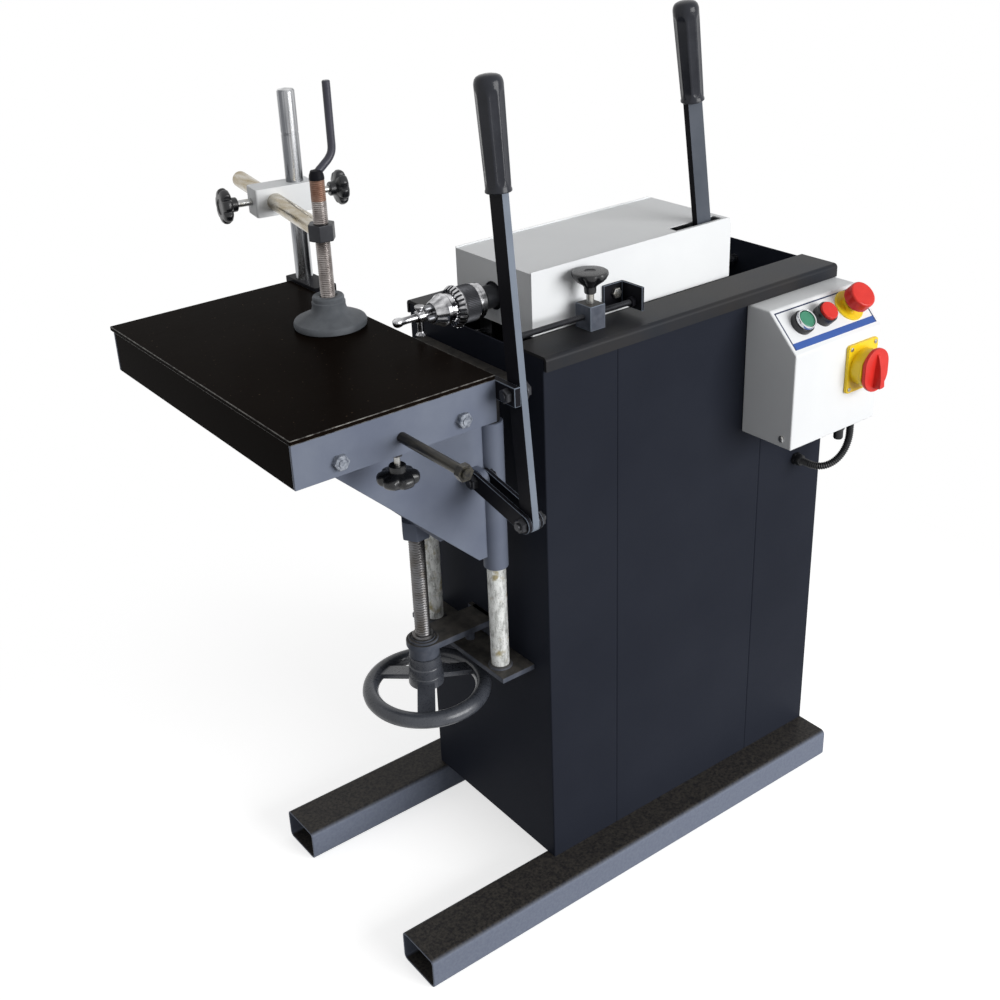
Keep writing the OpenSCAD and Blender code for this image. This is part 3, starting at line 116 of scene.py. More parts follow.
def rounded(width, height, radius, steps=4):
    """Outline of a rectangle about the origin with round corners."""
    u, v = width / 2 - radius, height / 2 - radius
    return (arc(u, v, radius, 0, 90, steps) + arc(-u, v, radius, 90, 180, steps)
            + arc(-u, -v, radius, 180, 270, steps) + arc(u, -v, radius, 270, 360, steps))


SAME_POINT = 1e-4


def take(bm, part):
    """Puts a closed part into the piece, its doubles merged and its faces outwards."""
    bmesh.ops.remove_doubles(part, verts=part.verts, dist=SAME_POINT)
    bmesh.ops.recalc_face_normals(part, faces=part.faces)
    copy = bpy.data.meshes.new("part")
    part.to_mesh(copy)
    part.free()
    bm.from_mesh(copy)
    bpy.data.meshes.remove(copy)


def loft(bm, rings, loop=False, caps=True, mat=0):
    """A skin through rings of equal count; loop joins the last to the first, caps close open ends."""
    part = bmesh.new()
    made = [[part.verts.new(p) for p in ring] for ring in rings]
    count = len(made[0])
    for a, b in list(zip(made, made[1:])) + ([(made[-1], made[0])] if loop else []):
        for i in range(count):
            part.faces.new((a[i], a[(i + 1) % count], b[(i + 1) % count], b[i]))
    if caps and not loop:
        part.faces.new(made[0][::-1])
        part.faces.new(made[-1])
    for face in part.faces:
        face.material_index = mat
    take(bm, part)


MILLIMETRE = 0.001
CREASE = math.radians(33)


def piece(name, bm, finishes, body, slot, *nodes):
    """The mesh, drawn in millimetres, as a piece that rides on a body and stands for those CAD nodes."""
    bm.transform(Matrix.Scale(MILLIMETRE, 4))
    mesh = bpy.data.meshes.new(name)
    bm.to_mesh(mesh)
    bm.free()
    mesh.shade_smooth()
    mesh.set_sharp_from_angle(angle=CREASE)
    for finish in finishes:
        mesh.materials.append(finish)
    made = bpy.data.objects.new(name, mesh)
    bpy.context.scene.collection.objects.link(made)
    even = made.modifiers.new("even_normals", "WEIGHTED_NORMAL")
    even.keep_sharp = True
    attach(made, body)
    if nodes:
        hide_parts(*nodes)


# Foot powder coat: satin blue-grey on the sides; on top speckled brown-grey and darker, a painted shade.
foot_powder_painted_top_shade = surface("foot_powder_coat_painted_top_shade", "#6c7384", "#757c8b", 0.5, 2.4, 60, cloud_mm=4, specular=0.12,
                         top=("#272628", "#44413d"))
FOOT_HALF = 400
FOOT_WIDE = 75
FOOT_HIGH = 50
FOOT_WALL = 3
FOOT_BEND = 8
FOOT_Y = 163.5
SAWN = 0.6
bm = bmesh.new()
for side in (-FOOT_Y, FOOT_Y):
    rings = []
    for x, inset in ((SAWN - FOOT_HALF, 0), (FOOT_HALF - SAWN, 0), (FOOT_HALF, SAWN),
                     (FOOT_HALF, FOOT_WALL - SAWN), (FOOT_HALF - SAWN, FOOT_WALL),
                     (SAWN - FOOT_HALF, FOOT_WALL), (-FOOT_HALF, FOOT_WALL - SAWN), (-FOOT_HALF, SAWN)):
        outline = rounded(FOOT_WIDE - 2 * inset, FOOT_HIGH - 2 * inset, FOOT_BEND - inset, 7)
        rings.append([(x, side + u, FOOT_HIGH / 2 + v) for u, v in outline])
    loft(bm, rings, loop=True)
piece("feet", bm, [foot_powder_painted_top_shade], "base", "black_powder_coat", "foot_tubes")


# Cabinet: four sheet steel panels. The side panels have two pressed seams each and folded upright edges;
# the front and rear panels are let in between them. All are powder coated blue-black.
SHARP_TURN = 0.6


def prism(bm, outline, low, high, place=Matrix(), bevel=0.0, mat=0, steps=2, rim=-1, ends=None):
    """A plate of that outline between two heights of its own frame, its sharp edges rounded. The rounding
    and both flats may have a finish of their own."""
    part = bmesh.new()
    base = [part.verts.new((u, v, low)) for u, v in outline]
    top = [part.verts.new((u, v, high)) for u, v in outline]
    flats = [part.faces.new(base[::-1]), part.faces.new(top)]
    for i in range(len(base)):
        j = (i + 1) % len(base)
        part.faces.new((base[i], base[j], top[j], top[i]))
    for face in part.faces:
        face.material_index = mat if ends is None or face not in flats else ends
    if bevel:
        part.normal_update()
        sharp = [e for e in part.edges if abs(e.calc_face_angle(0)) > SHARP_TURN]
        bmesh.ops.bevel(part, geom=sharp, offset=bevel, segments=steps, profile=0.5, affect="EDGES",
                        clamp_overlap=True, material=rim)
    part.transform(place)
    take(bm, part)


def block(bm, low, high, bevel=0.6, place=Matrix(), mat=0, rim=-1):
    """A box between two corners of its own frame, its edges rounded."""
    (x0, y0, z0), (x1, y1, z1) = low, high
    prism(bm, [(x0, y0), (x1, y0), (x1, y1), (x0, y1)], z0, z1, place, bevel, mat, rim=rim)


# Blue-black powder coat: dark satin sheet with a very fine texture and hardly any highlight.
night_powder = surface("blue_black_powder_coat", "#22252e", "#272a33", 0.55, 1.3, 35, cloud_mm=260,
                       specular=0.04)
CABINET_X = (-140, 400)
PANEL_Y = 147.5
PANEL_Z = (50, 846)
PANEL_SHEET = 2.5
FOLD = 1.8
SEAMS = (-17, 263)
GROOVE = ((2.1, 0), (1.4, 0.3), (0.8, 1))
near_outline = [(CABINET_X[1], PANEL_SHEET - PANEL_Y), (CABINET_X[0], PANEL_SHEET - PANEL_Y)]
near_outline += arc(CABINET_X[0] + FOLD, FOLD - PANEL_Y, FOLD, 180, 270, 4)
for seam in SEAMS:
    near_outline += [(seam - out, deep - PANEL_Y) for out, deep in GROOVE]
    near_outline += [(seam + out, deep - PANEL_Y) for out, deep in GROOVE[::-1]]
near_outline += arc(CABINET_X[1] - FOLD, FOLD - PANEL_Y, FOLD, 270, 360, 4)
for name, turn in (("near_side_panel", 1), ("far_side_panel", -1)):
    bm = bmesh.new()
    prism(bm, [(x, y * turn) for x, y in near_outline], *PANEL_Z)
    piece(name + "_folded", bm, [night_powder], "base", "black_powder_coat", name)
let_in = PANEL_Y - PANEL_SHEET
for name, x in (("front_panel", CABINET_X[0]), ("rear_panel", CABINET_X[1] - PANEL_SHEET)):
    bm = bmesh.new()
    block(bm, (x, -let_in, PANEL_Z[0]), (x + PANEL_SHEET, let_in, PANEL_Z[1]), 0.5)
    piece(name + "_let_in", bm, [night_powder], "base", "black_powder_coat", name)


# Rails: two strips of 4 mm plate folded over the tops of the side panels, with a rolled outer edge, an
# outer lip and a short inner lip. Blue-black powder coat, handled smooth on top.
ALONG_X = Matrix(((0, 0, 1, 0), (1, 0, 0, 0), (0, 1, 0, 0), (0, 0, 0, 1)))
# Handled powder coat: the cabinet's coat rubbed to a low gloss, so the flat top mirrors the pale room.
rail_powder = surface("handled_powder_coat", "#23262c", "#2f2d2c", 0.42, 1.4, 40, cloud_mm=140,
                      specular=0.12)
RAIL_TOP = 850
RAIL_OUT = 154
RAIL_IN = 86
RAIL_PLATE = 4
RAIL_ROLL = 6
RAIL_EASE = 2
OUTER_LIP_Z = 831
INNER_LIP_Z = 836
LIP_SHORT = 3
WELD = 0.2
bm = bmesh.new()
for turn in (1, -1):
    section = [(RAIL_PLATE - RAIL_OUT, OUTER_LIP_Z), (-RAIL_OUT, OUTER_LIP_Z)]
    section += arc(RAIL_ROLL - RAIL_OUT, RAIL_TOP - RAIL_ROLL, RAIL_ROLL, 180, 90, 8)
    section += arc(-RAIL_IN - RAIL_EASE, RAIL_TOP - RAIL_EASE, RAIL_EASE, 90, 0, 3)
    section += [(-RAIL_IN, RAIL_TOP - RAIL_PLATE)]
    section += arc(RAIL_ROLL - RAIL_OUT, RAIL_TOP - RAIL_ROLL, RAIL_ROLL - RAIL_PLATE, 90, 180, 3)
    prism(bm, [(y * turn, z) for y, z in section], *CABINET_X, ALONG_X)
    inner = sorted((-RAIL_IN * turn, -(RAIL_IN + RAIL_PLATE) * turn))
    block(bm, (CABINET_X[0] + LIP_SHORT, inner[0], INNER_LIP_Z),
          (CABINET_X[1] - LIP_SHORT, inner[1], RAIL_TOP - RAIL_PLATE + WELD), 0.8)
piece("rails_folded", bm, [rail_powder], "base", "grey_black_enamel", "top_rails")


# Lift supports: a foot plate and a head angle welded across the front panel hold the guide rods; a flat arm
# with a round end and a turned bush carries the lift screw and a short stud. Grey brushing enamel.
def lathe(bm, profile, place=Matrix(), steps=40, loop=False, mat=0):
    """A turned shape from (radius, height) points about its own Z axis; loop joins the ends as a tube."""
    turns = [2 * math.pi * i / steps for i in range(steps)]
    rings = [[place @ Vector((r * math.cos(t), r * math.sin(t), h)) for t in turns] for r, h in profile]
    loft(bm, rings, loop=loop, caps=False, mat=mat)


def at(x, y, z, turn=Matrix()):
    """A frame at that point."""
    return Matrix.Translation((x, y, z)) @ turn


# Grey brushing enamel: slate grey, low gloss, slightly lumpy over mill scale; on top brown with dust and
# darker as painted shade.
grey_enamel_dust_and_shade_top = surface("grey_brushing_enamel_dust_and_painted_shade", "#484d58", "#585c66", 0.5, 4.0, 90, cloud_mm=12,
                      specular=0.15, top=("#3e3d3c", "#55524e"))
ROD_X = -176
ROD_Y = 80.5
SCREW_X = -250
FRONT = CABINET_X[0]
SUPPORT = 8
SUPPORT_X = ROD_X - 20
SUPPORT_HALF = 112.5
FOOT_PLATE_Z = 369
HEAD_PLATE_Z = 800
HEAD_FLANGE_Z = (768, 800.5)
ARM_HALF = 25
ARM_Z = (402, 412)
ARM_FLANGE_HALF = 33
ARM_FLANGE_Z = 380
STUD = (-178, -12)
bm = bmesh.new()
for z in (FOOT_PLATE_Z, HEAD_PLATE_Z):
    block(bm, (SUPPORT_X, -SUPPORT_HALF, z), (FRONT, SUPPORT_HALF, z + SUPPORT), 0.8)
block(bm, (FRONT - SUPPORT, -SUPPORT_HALF, HEAD_FLANGE_Z[0]), (FRONT, SUPPORT_HALF, HEAD_FLANGE_Z[1]), 0.8)
for y in (-ROD_Y, ROD_Y):
    bead = [(13.1, 376.8), (17.4, 376.8), (16.8, 378.2), (15.2, 379.6), (13.1, 380.6)]
    lathe(bm, bead, at(ROD_X, y, 0), 32, loop=True)
arm = [(FRONT, -ARM_HALF), (FRONT, ARM_HALF)] + arc(SCREW_X, 0, ARM_HALF, 90, 270, 18)
prism(bm, arm, *ARM_Z, bevel=1.0)
block(bm, (FRONT - SUPPORT, -ARM_FLANGE_HALF, ARM_FLANGE_Z), (FRONT, ARM_FLANGE_HALF, ARM_Z[1]), 0.8)
lathe(bm, [(0, 386), (5.6, 386), (7, 387.4), (7, 402.4), (0, 402.4)], at(*STUD, 0), 28)
lathe(bm, [(11.6, 385), (20.4, 385), (21.5, 386), (21.5, 414), (20.6, 415), (18.8, 415), (18.2, 414.2),
           (17, 414.2), (16.6, 416), (11.6, 416)], at(SCREW_X, 0, 0), loop=True)
piece("lift_supports_welded", bm, [grey_enamel_dust_and_shade_top], "base", "grey_black_enamel", "lift_supports")


# Guide rods: two 26 mm hot-dip galvanised bars, welded into the foot plate. The zinc is whitish, with fine
# dark specks, dull runs where the sleeves rub and a few yellow-brown stains.
def blotched_zinc(name):
    """White zinc with grey runs, then stains, then specks laid over it."""
    material, tree, place = open_material(name)
    # Runs are 7 mm across and three times as long; stains come from a noise of 16 mm, and specks from the
    # fine end of one of 5 mm, as coarse as they need to show.
    run = add(tree, "ShaderNodeMapping", {"Vector": place, "Scale": (1000 / 7, 1000 / 7, 1000 / 22)})
    runs = add(tree, "ShaderNodeTexNoise", {"Vector": run.outputs[0], "Scale": 1.0, "Detail": 7.0,
                                            "Roughness": 0.75})
    stains = add(tree, "ShaderNodeTexNoise", {"Vector": place, "Scale": 1000 / 16, "Detail": 4.0})
    specks = add(tree, "ShaderNodeTexNoise", {"Vector": place, "Scale": 1000 / 5, "Detail": 7.0,
                                              "Roughness": 0.8})
    tone = srgb("#f4f6f4")
    for pattern, low, high, colour in ((runs, 0.45, 0.66, "#8e908c"), (stains, 0.58, 0.72, "#aba07c"),
                                       (specks, 0.56, 0.68, "#76756f")):
        share = add(tree, "ShaderNodeMapRange", {"Value": pattern.outputs["Fac"], "From Min": low,
                                                 "From Max": high})
        tone = add(tree, "ShaderNodeMix", {0: share.outputs[0], 6: tone, 7: srgb(colour)},
                   data_type="RGBA").outputs[2]
    dull = add(tree, "ShaderNodeMapRange", {"Value": runs.outputs["Fac"], "From Min": 0.35, "From Max": 0.65,
                                            "To Min": 0.6, "To Max": 0.42})
    relief = add(tree, "ShaderNodeBump", {"Height": runs.outputs["Fac"], "Distance": 0.0002})
    close_material(tree, {"Base Color": tone, "Roughness": dull.outputs[0], "Normal": relief.outputs[0],
                          "Metallic": 0.2})
    return material


def round_bar(bm, radius, low, high, place, steps=24, mat=0):
    """A plain round bar between two heights of its own frame."""
    lathe(bm, [(0, low), (radius, low), (radius, high), (0, high)], place, steps, mat=mat)


# Galvanised steel: chalky white zinc with darker rubbed runs, rough and hardly metallic to the eye.
galvanised = blotched_zinc("galvanised_steel")
# Dark rod top: the top of the rod above the sleeve, nearly black.
dark_rod_top = surface("dark_rod_top_steel", "#1c1c1e", "#2a2a2b", 0.4, 1.4, 40, cloud_mm=12, specular=0.2)
ROD_R = 13
ROD_FOOT = 377.05
DARK_TOP_Z = 745
bm = bmesh.new()
for y in (-ROD_Y, ROD_Y):
    round_bar(bm, ROD_R, ROD_FOOT, DARK_TOP_Z, at(ROD_X, y, 0), 40)
    lathe(bm, [(0, DARK_TOP_Z), (ROD_R, DARK_TOP_Z), (ROD_R, 798.5), (11.5, 800), (0, 800)], at(ROD_X, y, 0),
          mat=1)
piece("guide_rods_galvanised", bm, [galvanised, dark_rod_top], "base", "bright_steel", "guide_rods")


# Lift carriage: two gusset plates, each welded to a long sleeve on its guide rod and to two bushes for the
# table's cross guides. The near one also has a lug for the double link. Slate powder coat.
ALONG_Y = Matrix(((1, 0, 0, 0), (0, 0, 1, 0), (0, 1, 0, 0), (0, 0, 0, 1)))


def bush(bm, bore, radius, low, high, place):
    """A turned bush with its outer corners taken off by 1 mm."""
    lathe(bm, [(bore, low), (radius - 1, low), (radius, low + 1), (radius, high - 1), (radius - 1, high),
               (bore, high)], place, loop=True)


# Slate powder coat: satin blue-grey with fine orange peel; upright faces take a soft cool light.
slate_powder = surface("slate_powder_coat", "#6a7182", "#767d8c", 0.45, 1.6, 45, specular=0.12)
SLEEVE_Z = (538, 754)
SLEEVE_BORE = 13.1
GUIDE_BORE = 10.1
GUIDE_BUSH_HALF = 15
BUSH_R = 17
GUSSET = 8
GUSSET_OUTLINE = [(-190, 558), (-206, 558), (-462, 798), (-462, 828), (-424, 828), (-424, 792), (-293, 792),
                  (-293, 828), (-236, 828), (-236, 780), (-190, 754)]
GUIDE_X = (-273, -444)
GUIDE_Z = 810
LUG_PIN = (-99.5, 686)
LUG_R = 13
LUG_ROOT = -84.3
LUG_X = (-212.5, -202.5)
for name, side in (("near_lift_bracket", -1), ("far_lift_bracket", 1)):
    bm = bmesh.new()
    prism(bm, GUSSET_OUTLINE, side * ROD_Y - GUSSET / 2, side * ROD_Y + GUSSET / 2, ALONG_Y, 0.8)
    bush(bm, SLEEVE_BORE, BUSH_R, *SLEEVE_Z, at(ROD_X, side * ROD_Y, 0))
    for x in GUIDE_X:
        bush(bm, GUIDE_BORE, BUSH_R, -GUIDE_BUSH_HALF, GUIDE_BUSH_HALF,
             at(x, side * ROD_Y, GUIDE_Z, ALONG_Y))
    if side < 0:
        lug = [(LUG_ROOT, LUG_PIN[1] + LUG_R), (LUG_ROOT, LUG_PIN[1] - LUG_R)]
        prism(bm, lug + arc(*LUG_PIN, LUG_R, 270, 90, 10), *LUG_X, ALONG_X, 0.8)
    piece(name + "_welded", bm, [slate_powder], "lift", "grey_black_enamel", name)


# Lift nut: a flat steel bar welded between the gussets, with a hexagon nut welded under it that the lift
# screw turns in. It has the slate coat of the carriage.
HEX_ROUND = 1 / math.sqrt(3)


def hexagon(flats, start=0):
    """Outline of a hexagon of that width over flats, its first corner at that angle."""
    return arc(0, 0, flats * HEX_ROUND, start, start + 300, 5)


NUT_BAR_X = (-262, -226)
NUT_BAR_Z = (604, 614)
NUT_FOOT = 577
between = ROD_Y - GUSSET / 2
bm = bmesh.new()
block(bm, (NUT_BAR_X[0], -between, NUT_BAR_Z[0]), (NUT_BAR_X[1], between, NUT_BAR_Z[1]), 0.8)
prism(bm, hexagon(36), NUT_FOOT, NUT_BAR_Z[0] + WELD, at(SCREW_X, 0, 0), 1.2)
piece("lift_nut_hex", bm, [slate_powder], "lift", "dark_steel", "lift_nut")


# Lift screw: a 23 mm screw with a rolled thread, a plain journal below and a turned collar that rests on
# the arm's bush. The thread is grey steel under old oil.
def grow(tree, values, source=None):
    """The plain mesh that a Geometry Nodes tree makes from those inputs."""
    holder = bpy.data.objects.new("grown", source or bpy.data.meshes.new("grown"))
    bpy.context.scene.collection.objects.link(holder)
    growth = holder.modifiers.new("growth", "NODES")
    growth.node_group = tree
    for socket in tree.interface.items_tree:
        if socket.in_out == "INPUT" and socket.name in values:
            growth[socket.identifier] = values[socket.name]
    bpy.context.view_layer.update()
    mesh = bpy.data.meshes.new_from_object(holder.evaluated_get(bpy.context.evaluated_depsgraph_get()))
    holder.modifiers.remove(growth)
    bpy.data.objects.remove(holder)
    return mesh


def join(bm, mesh, place=Matrix(), mat=0):
    """Takes a grown mesh into the piece that is being drawn."""
    mesh.transform(place)
    start = len(bm.faces)
    bm.from_mesh(mesh)
    bm.faces.ensure_lookup_table()
    for face in bm.faces[start:]:
        face.material_index = mat
        if place.determinant() < 0:
            face.normal_flip()
    bpy.data.meshes.remove(mesh)


def new_tree(name, inputs):
    """An empty Geometry Nodes tree with geometry in and out and those named inputs."""
    tree = bpy.data.node_groups.new(name, "GeometryNodeTree")
    tree.interface.new_socket("Geometry", in_out="INPUT", socket_type="NodeSocketGeometry")
    for label, kind in inputs.items():
        tree.interface.new_socket(label, in_out="INPUT", socket_type="NodeSocket" + kind)
    tree.interface.new_socket("Geometry", in_out="OUTPUT", socket_type="NodeSocketGeometry")
    return tree


def close_tree(tree, geometry, finish):
    """Realizes what the tree made, gives it its finish and hands it out."""
    real = add(tree, "GeometryNodeRealizeInstances", {"Geometry": geometry})
    made = add(tree, "GeometryNodeSetMaterial", {"Geometry": real.outputs[0], "Material": finish})
    add(tree, "NodeGroupOutput", {"Geometry": made.outputs[0]})


# Thread: a cylinder whose radius falls and rises once for each pitch along a helix.
thread_tree = new_tree("rolled_thread", {"Radius": "Float", "Length": "Float", "Pitch": "Float",
                                         "Depth": "Float", "Rows": "Int", "Finish": "Material"})
given = add(thread_tree, "NodeGroupInput").outputs
rod = add(thread_tree, "GeometryNodeMeshCylinder", {"Vertices": 28, "Side Segments": given["Rows"],
                                                   "Radius": given["Radius"], "Depth": given["Length"]})
spot = add(thread_tree, "ShaderNodeSeparateXYZ",
           {0: add(thread_tree, "GeometryNodeInputPosition").outputs[0]}).outputs
angle = add(thread_tree, "ShaderNodeMath", {0: spot["Y"], 1: spot["X"]}, operation="ARCTAN2")
turn = add(thread_tree, "ShaderNodeMath", {0: angle.outputs[0], 1: 2 * math.pi}, operation="DIVIDE")
climb = add(thread_tree, "ShaderNodeMath", {0: spot["Z"], 1: given["Pitch"]}, operation="DIVIDE")
phase = add(thread_tree, "ShaderNodeMath", {0: climb.outputs[0], 1: turn.outputs[0]}, operation="SUBTRACT")
wave = add(thread_tree, "ShaderNodeMath", {0: phase.outputs[0], 1: 0.5}, operation="PINGPONG")
fall = add(thread_tree, "ShaderNodeMath", {0: wave.outputs[0], 1: given["Depth"]}, operation="MULTIPLY")
inward = add(thread_tree, "ShaderNodeMath", {0: fall.outputs[0], 1: -2.0}, operation="MULTIPLY")
flat = add(thread_tree, "ShaderNodeCombineXYZ", {"X": spot["X"], "Y": spot["Y"]})
outward = add(thread_tree, "ShaderNodeVectorMath", {0: flat.outputs[0]}, operation="NORMALIZE")
shift = add(thread_tree, "ShaderNodeVectorMath", {0: outward.outputs[0], "Scale": inward.outputs[0]},
            operation="SCALE")
cut = add(thread_tree, "GeometryNodeSetPosition", {"Geometry": rod.outputs[0], "Offset": shift.outputs[0]})
close_tree(thread_tree, cut.outputs[0], given["Finish"])
ROWS_A_TURN = 6


def thread(bm, radius, length, pitch, depth, place, finish, mat=0):
    """A threaded length that starts at its frame's origin and runs up its Z axis."""
    mesh = grow(thread_tree, {"Radius": radius, "Length": length, "Pitch": pitch, "Depth": depth,
                              "Rows": int(length / pitch * ROWS_A_TURN), "Finish": finish})
    join(bm, mesh, place @ Matrix.Translation((0, 0, length / 2)), mat)


# Oily thread steel: neutral grey, dark in the roots, with bright crests along the light.
thread_steel = surface("oily_thread_steel", "#727274", "#57534f", 0.36, (0.8, 0.8, 0.3), 20, cloud_mm=22,
                       metallic=0.9)
SCREW_R = 11.5
SCREW_FOOT = 338
THREAD_FOOT = 421
bm = bmesh.new()
lathe(bm, [(0, SCREW_FOOT), (SCREW_R, SCREW_FOOT), (SCREW_R, 416.5), (14.8, 416.5), (15.5, 417.2),
           (15.5, 420), (14.4, 421), (9, 421.4), (0, 421.4)], at(SCREW_X, 0, 0))
thread(bm, SCREW_R, length=274, pitch=4, depth=1.5, place=at(SCREW_X, 0, THREAD_FOOT), finish=thread_steel)
piece("lift_screw_threaded", bm, [thread_steel], "lift_drive", "zinc_steel", "lift_screw")


# Handwheel: a cast wheel with a round rim, three flat spokes and a stepped turned hub, pressed on the
# foot of the lift screw. Painted iron in satin charcoal.

# Ring of like pieces: copies one shape evenly about the Z axis.
ring_tree = new_tree("ring_of_like_pieces", {"Count": "Int", "Finish": "Material"})
given = add(ring_tree, "NodeGroupInput").outputs
spots = add(ring_tree, "GeometryNodePoints", {"Count": given["Count"]})
share = add(ring_tree, "ShaderNodeMath", {0: add(ring_tree, "GeometryNodeInputIndex").outputs[0],
                                          1: given["Count"]}, operation="DIVIDE")
turn = add(ring_tree, "ShaderNodeMath", {0: share.outputs[0], 1: 2 * math.pi}, operation="MULTIPLY")
about = add(ring_tree, "ShaderNodeCombineXYZ", {"Z": turn.outputs[0]})
spin = add(ring_tree, "FunctionNodeEulerToRotation", {0: about.outputs[0]})
copies = add(ring_tree, "GeometryNodeInstanceOnPoints", {
    "Points": spots.outputs[0], "Instance": given["Geometry"], "Rotation": spin.outputs[0]})
close_tree(ring_tree, copies.outputs[0], given["Finish"])


def ring_of(bm, one, count, place, finish, mat=0):
    """That many copies of a small drawn shape about the frame's Z axis."""
    source = bpy.data.meshes.new("one")
    one.to_mesh(source)
    one.free()
    join(bm, grow(ring_tree, {"Count": count, "Finish": finish}, source), place, mat)


# Painted cast iron: charcoal satin, sand-cast lumps of a few millimetres under the paint.
cast_iron = surface("painted_cast_iron", "#3d4047", "#4c4f56", 0.3, 3.2, 55, cloud_mm=30)
RIM_R = 81.5
RIM_ROUND = 11.5
WHEEL_Z = 329
SPOKE_TILT = math.radians(16.08)
SPOKE_START = math.radians(115)
bm = bmesh.new()
lathe(bm, [(RIM_R + u, WHEEL_Z + v) for u, v in arc(0, 0, RIM_ROUND, 0, 337.5, 15)], at(SCREW_X, 0, 0), 72,
      loop=True)
lathe(bm, [(11.6, 338), (23, 338), (25.5, 339.5), (25.5, 353), (24.8, 354.2), (24.2, 354.6), (24, 368),
           (23.4, 369.4), (22.6, 370), (22.6, 383.5), (21.4, 384.5), (11.6, 384.5)], at(SCREW_X, 0, 0), 48,
      loop=True)
spoke = bmesh.new()
block(spoke, (-65.5, -12.5, -4), (-1, 12.5, 4), 1.2,
      at(RIM_R, 0, WHEEL_Z, Matrix.Rotation(SPOKE_TILT, 4, "Y")))
ring_of(bm, spoke, 3, at(SCREW_X, 0, 0, Matrix.Rotation(SPOKE_START, 4, "Z")), cast_iron)
piece("handwheel_cast", bm, [cast_iron], "lift_drive", "cast_black", "handwheel")


# Double link: two flat steel bars with round ends, bolted between the lug and the foot of the table lever.
# Black lacquer; the rounded corners are pale grey, a painted highlight.

# Stove lacquer: deep black with a trace of violet; shows only a thin gloss at a slant.
black_lacquer = surface("black_stove_lacquer", "#17171b", "#1f1f24", 0.42, 2.5, 40, cloud_mm=50,
                        specular=0.05)
# Edge enamel: pale blue-grey with short marks along the bar, a painted highlight on lit edges and rounded
# corners.
painted_highlight_enamel = surface("slate_enamel_painted_highlight", "#707986", "#7c8592", 0.45, (2.0, 2.0, 14.0), 30, cloud_mm=60,
                      specular=0.15)
LINK_X = (-219, -202)
LINK_R = 12.5
LINK_THICK = 6
LEVER_FOOT = (-199, 664)
link_run = Vector((LUG_PIN[0] - LEVER_FOOT[0], LUG_PIN[1] - LEVER_FOOT[1]))
link_lean = Matrix.Rotation(-math.atan2(link_run[0], link_run[1]), 4, "X")
link_bar = arc(0, 0, LINK_R, 180, 360, 10) + arc(0, link_run.length, LINK_R, 0, 180, 10)
bm = bmesh.new()
for x in LINK_X:
    prism(bm, link_bar, 0, LINK_THICK, at(x, *LEVER_FOOT, link_lean) @ ALONG_X, 0.7, rim=1)
piece("double_link", bm, [black_lacquer, painted_highlight_enamel], "lift", "grey_black_enamel", "link_bars")


# Bolts: chamfered hex bolts hold the link, the cross guides and the table's drive lug. The guide bolts were
# painted with the table; the others are blackened. Every set on one body is one piece.

# Hex heads: one head at each point, turned to its facing and scaled to its width over flats.
bolt_tree = new_tree("hex_heads", {"Stub": "Float", "Finish": "Material"})
given = add(bolt_tree, "NodeGroupInput").outputs
shapes = [
    (add(bolt_tree, "GeometryNodeMeshCylinder", {"Vertices": 6, "Radius": HEX_ROUND, "Depth": 0.36}), 0.18),
    (add(bolt_tree, "GeometryNodeMeshCone", {"Vertices": 6, "Radius Top": 0.48, "Radius Bottom": HEX_ROUND,
                                             "Depth": 0.06}), 0.36),
    (add(bolt_tree, "GeometryNodeMeshCylinder", {"Vertices": 20, "Radius": 0.29,
                                                 "Depth": given["Stub"]}), 0.42)]
parts = add(bolt_tree, "GeometryNodeJoinGeometry")
for shape, height in shapes:
    raised = add(bolt_tree, "GeometryNodeTransform", {"Geometry": shape.outputs[0],
                                                      "Translation": (0, 0, height)})
    bolt_tree.links.new(raised.outputs[0], parts.inputs[0])
facing = add(bolt_tree, "GeometryNodeInputNamedAttribute", {"Name": "facing"}, data_type="FLOAT_VECTOR")
flats = add(bolt_tree, "GeometryNodeInputNamedAttribute", {"Name": "flats"}, data_type="FLOAT")
aim = add(bolt_tree, "FunctionNodeAlignRotationToVector", {"Vector": facing.outputs[0]}, axis="Z")
heads = add(bolt_tree, "GeometryNodeInstanceOnPoints", {
    "Points": given["Geometry"], "Instance": parts.outputs[0], "Rotation": aim.outputs[0],
    "Scale": flats.outputs[0]})
close_tree(bolt_tree, heads.outputs[0], given["Finish"])


def bolts(bm, spots, finish, stub=0.2, mat=0):
    """Hex heads; each spot is a point, the way it faces and its width over flats."""
    source = bpy.data.meshes.new("bolt_spots")
    source.from_pydata([spot for spot, way, wide in spots], [], [])
    ways = source.attributes.new("facing", "FLOAT_VECTOR", "POINT")
    ways.data.foreach_set("vector", [c for spot, way, wide in spots for c in way])
    wides = source.attributes.new("flats", "FLOAT", "POINT")
    wides.data.foreach_set("value", [wide for spot, way, wide in spots])
    join(bm, grow(bolt_tree, {"Stub": stub, "Finish": finish}, source), Matrix(), mat)


# Blackened steel: dark, faintly metallic, with dull oily patches.
blackened = surface("oiled_blackened_steel", "#2b2c30", "#3b3c40", 0.42, 1.2, 25, cloud_mm=25, metallic=0.6)
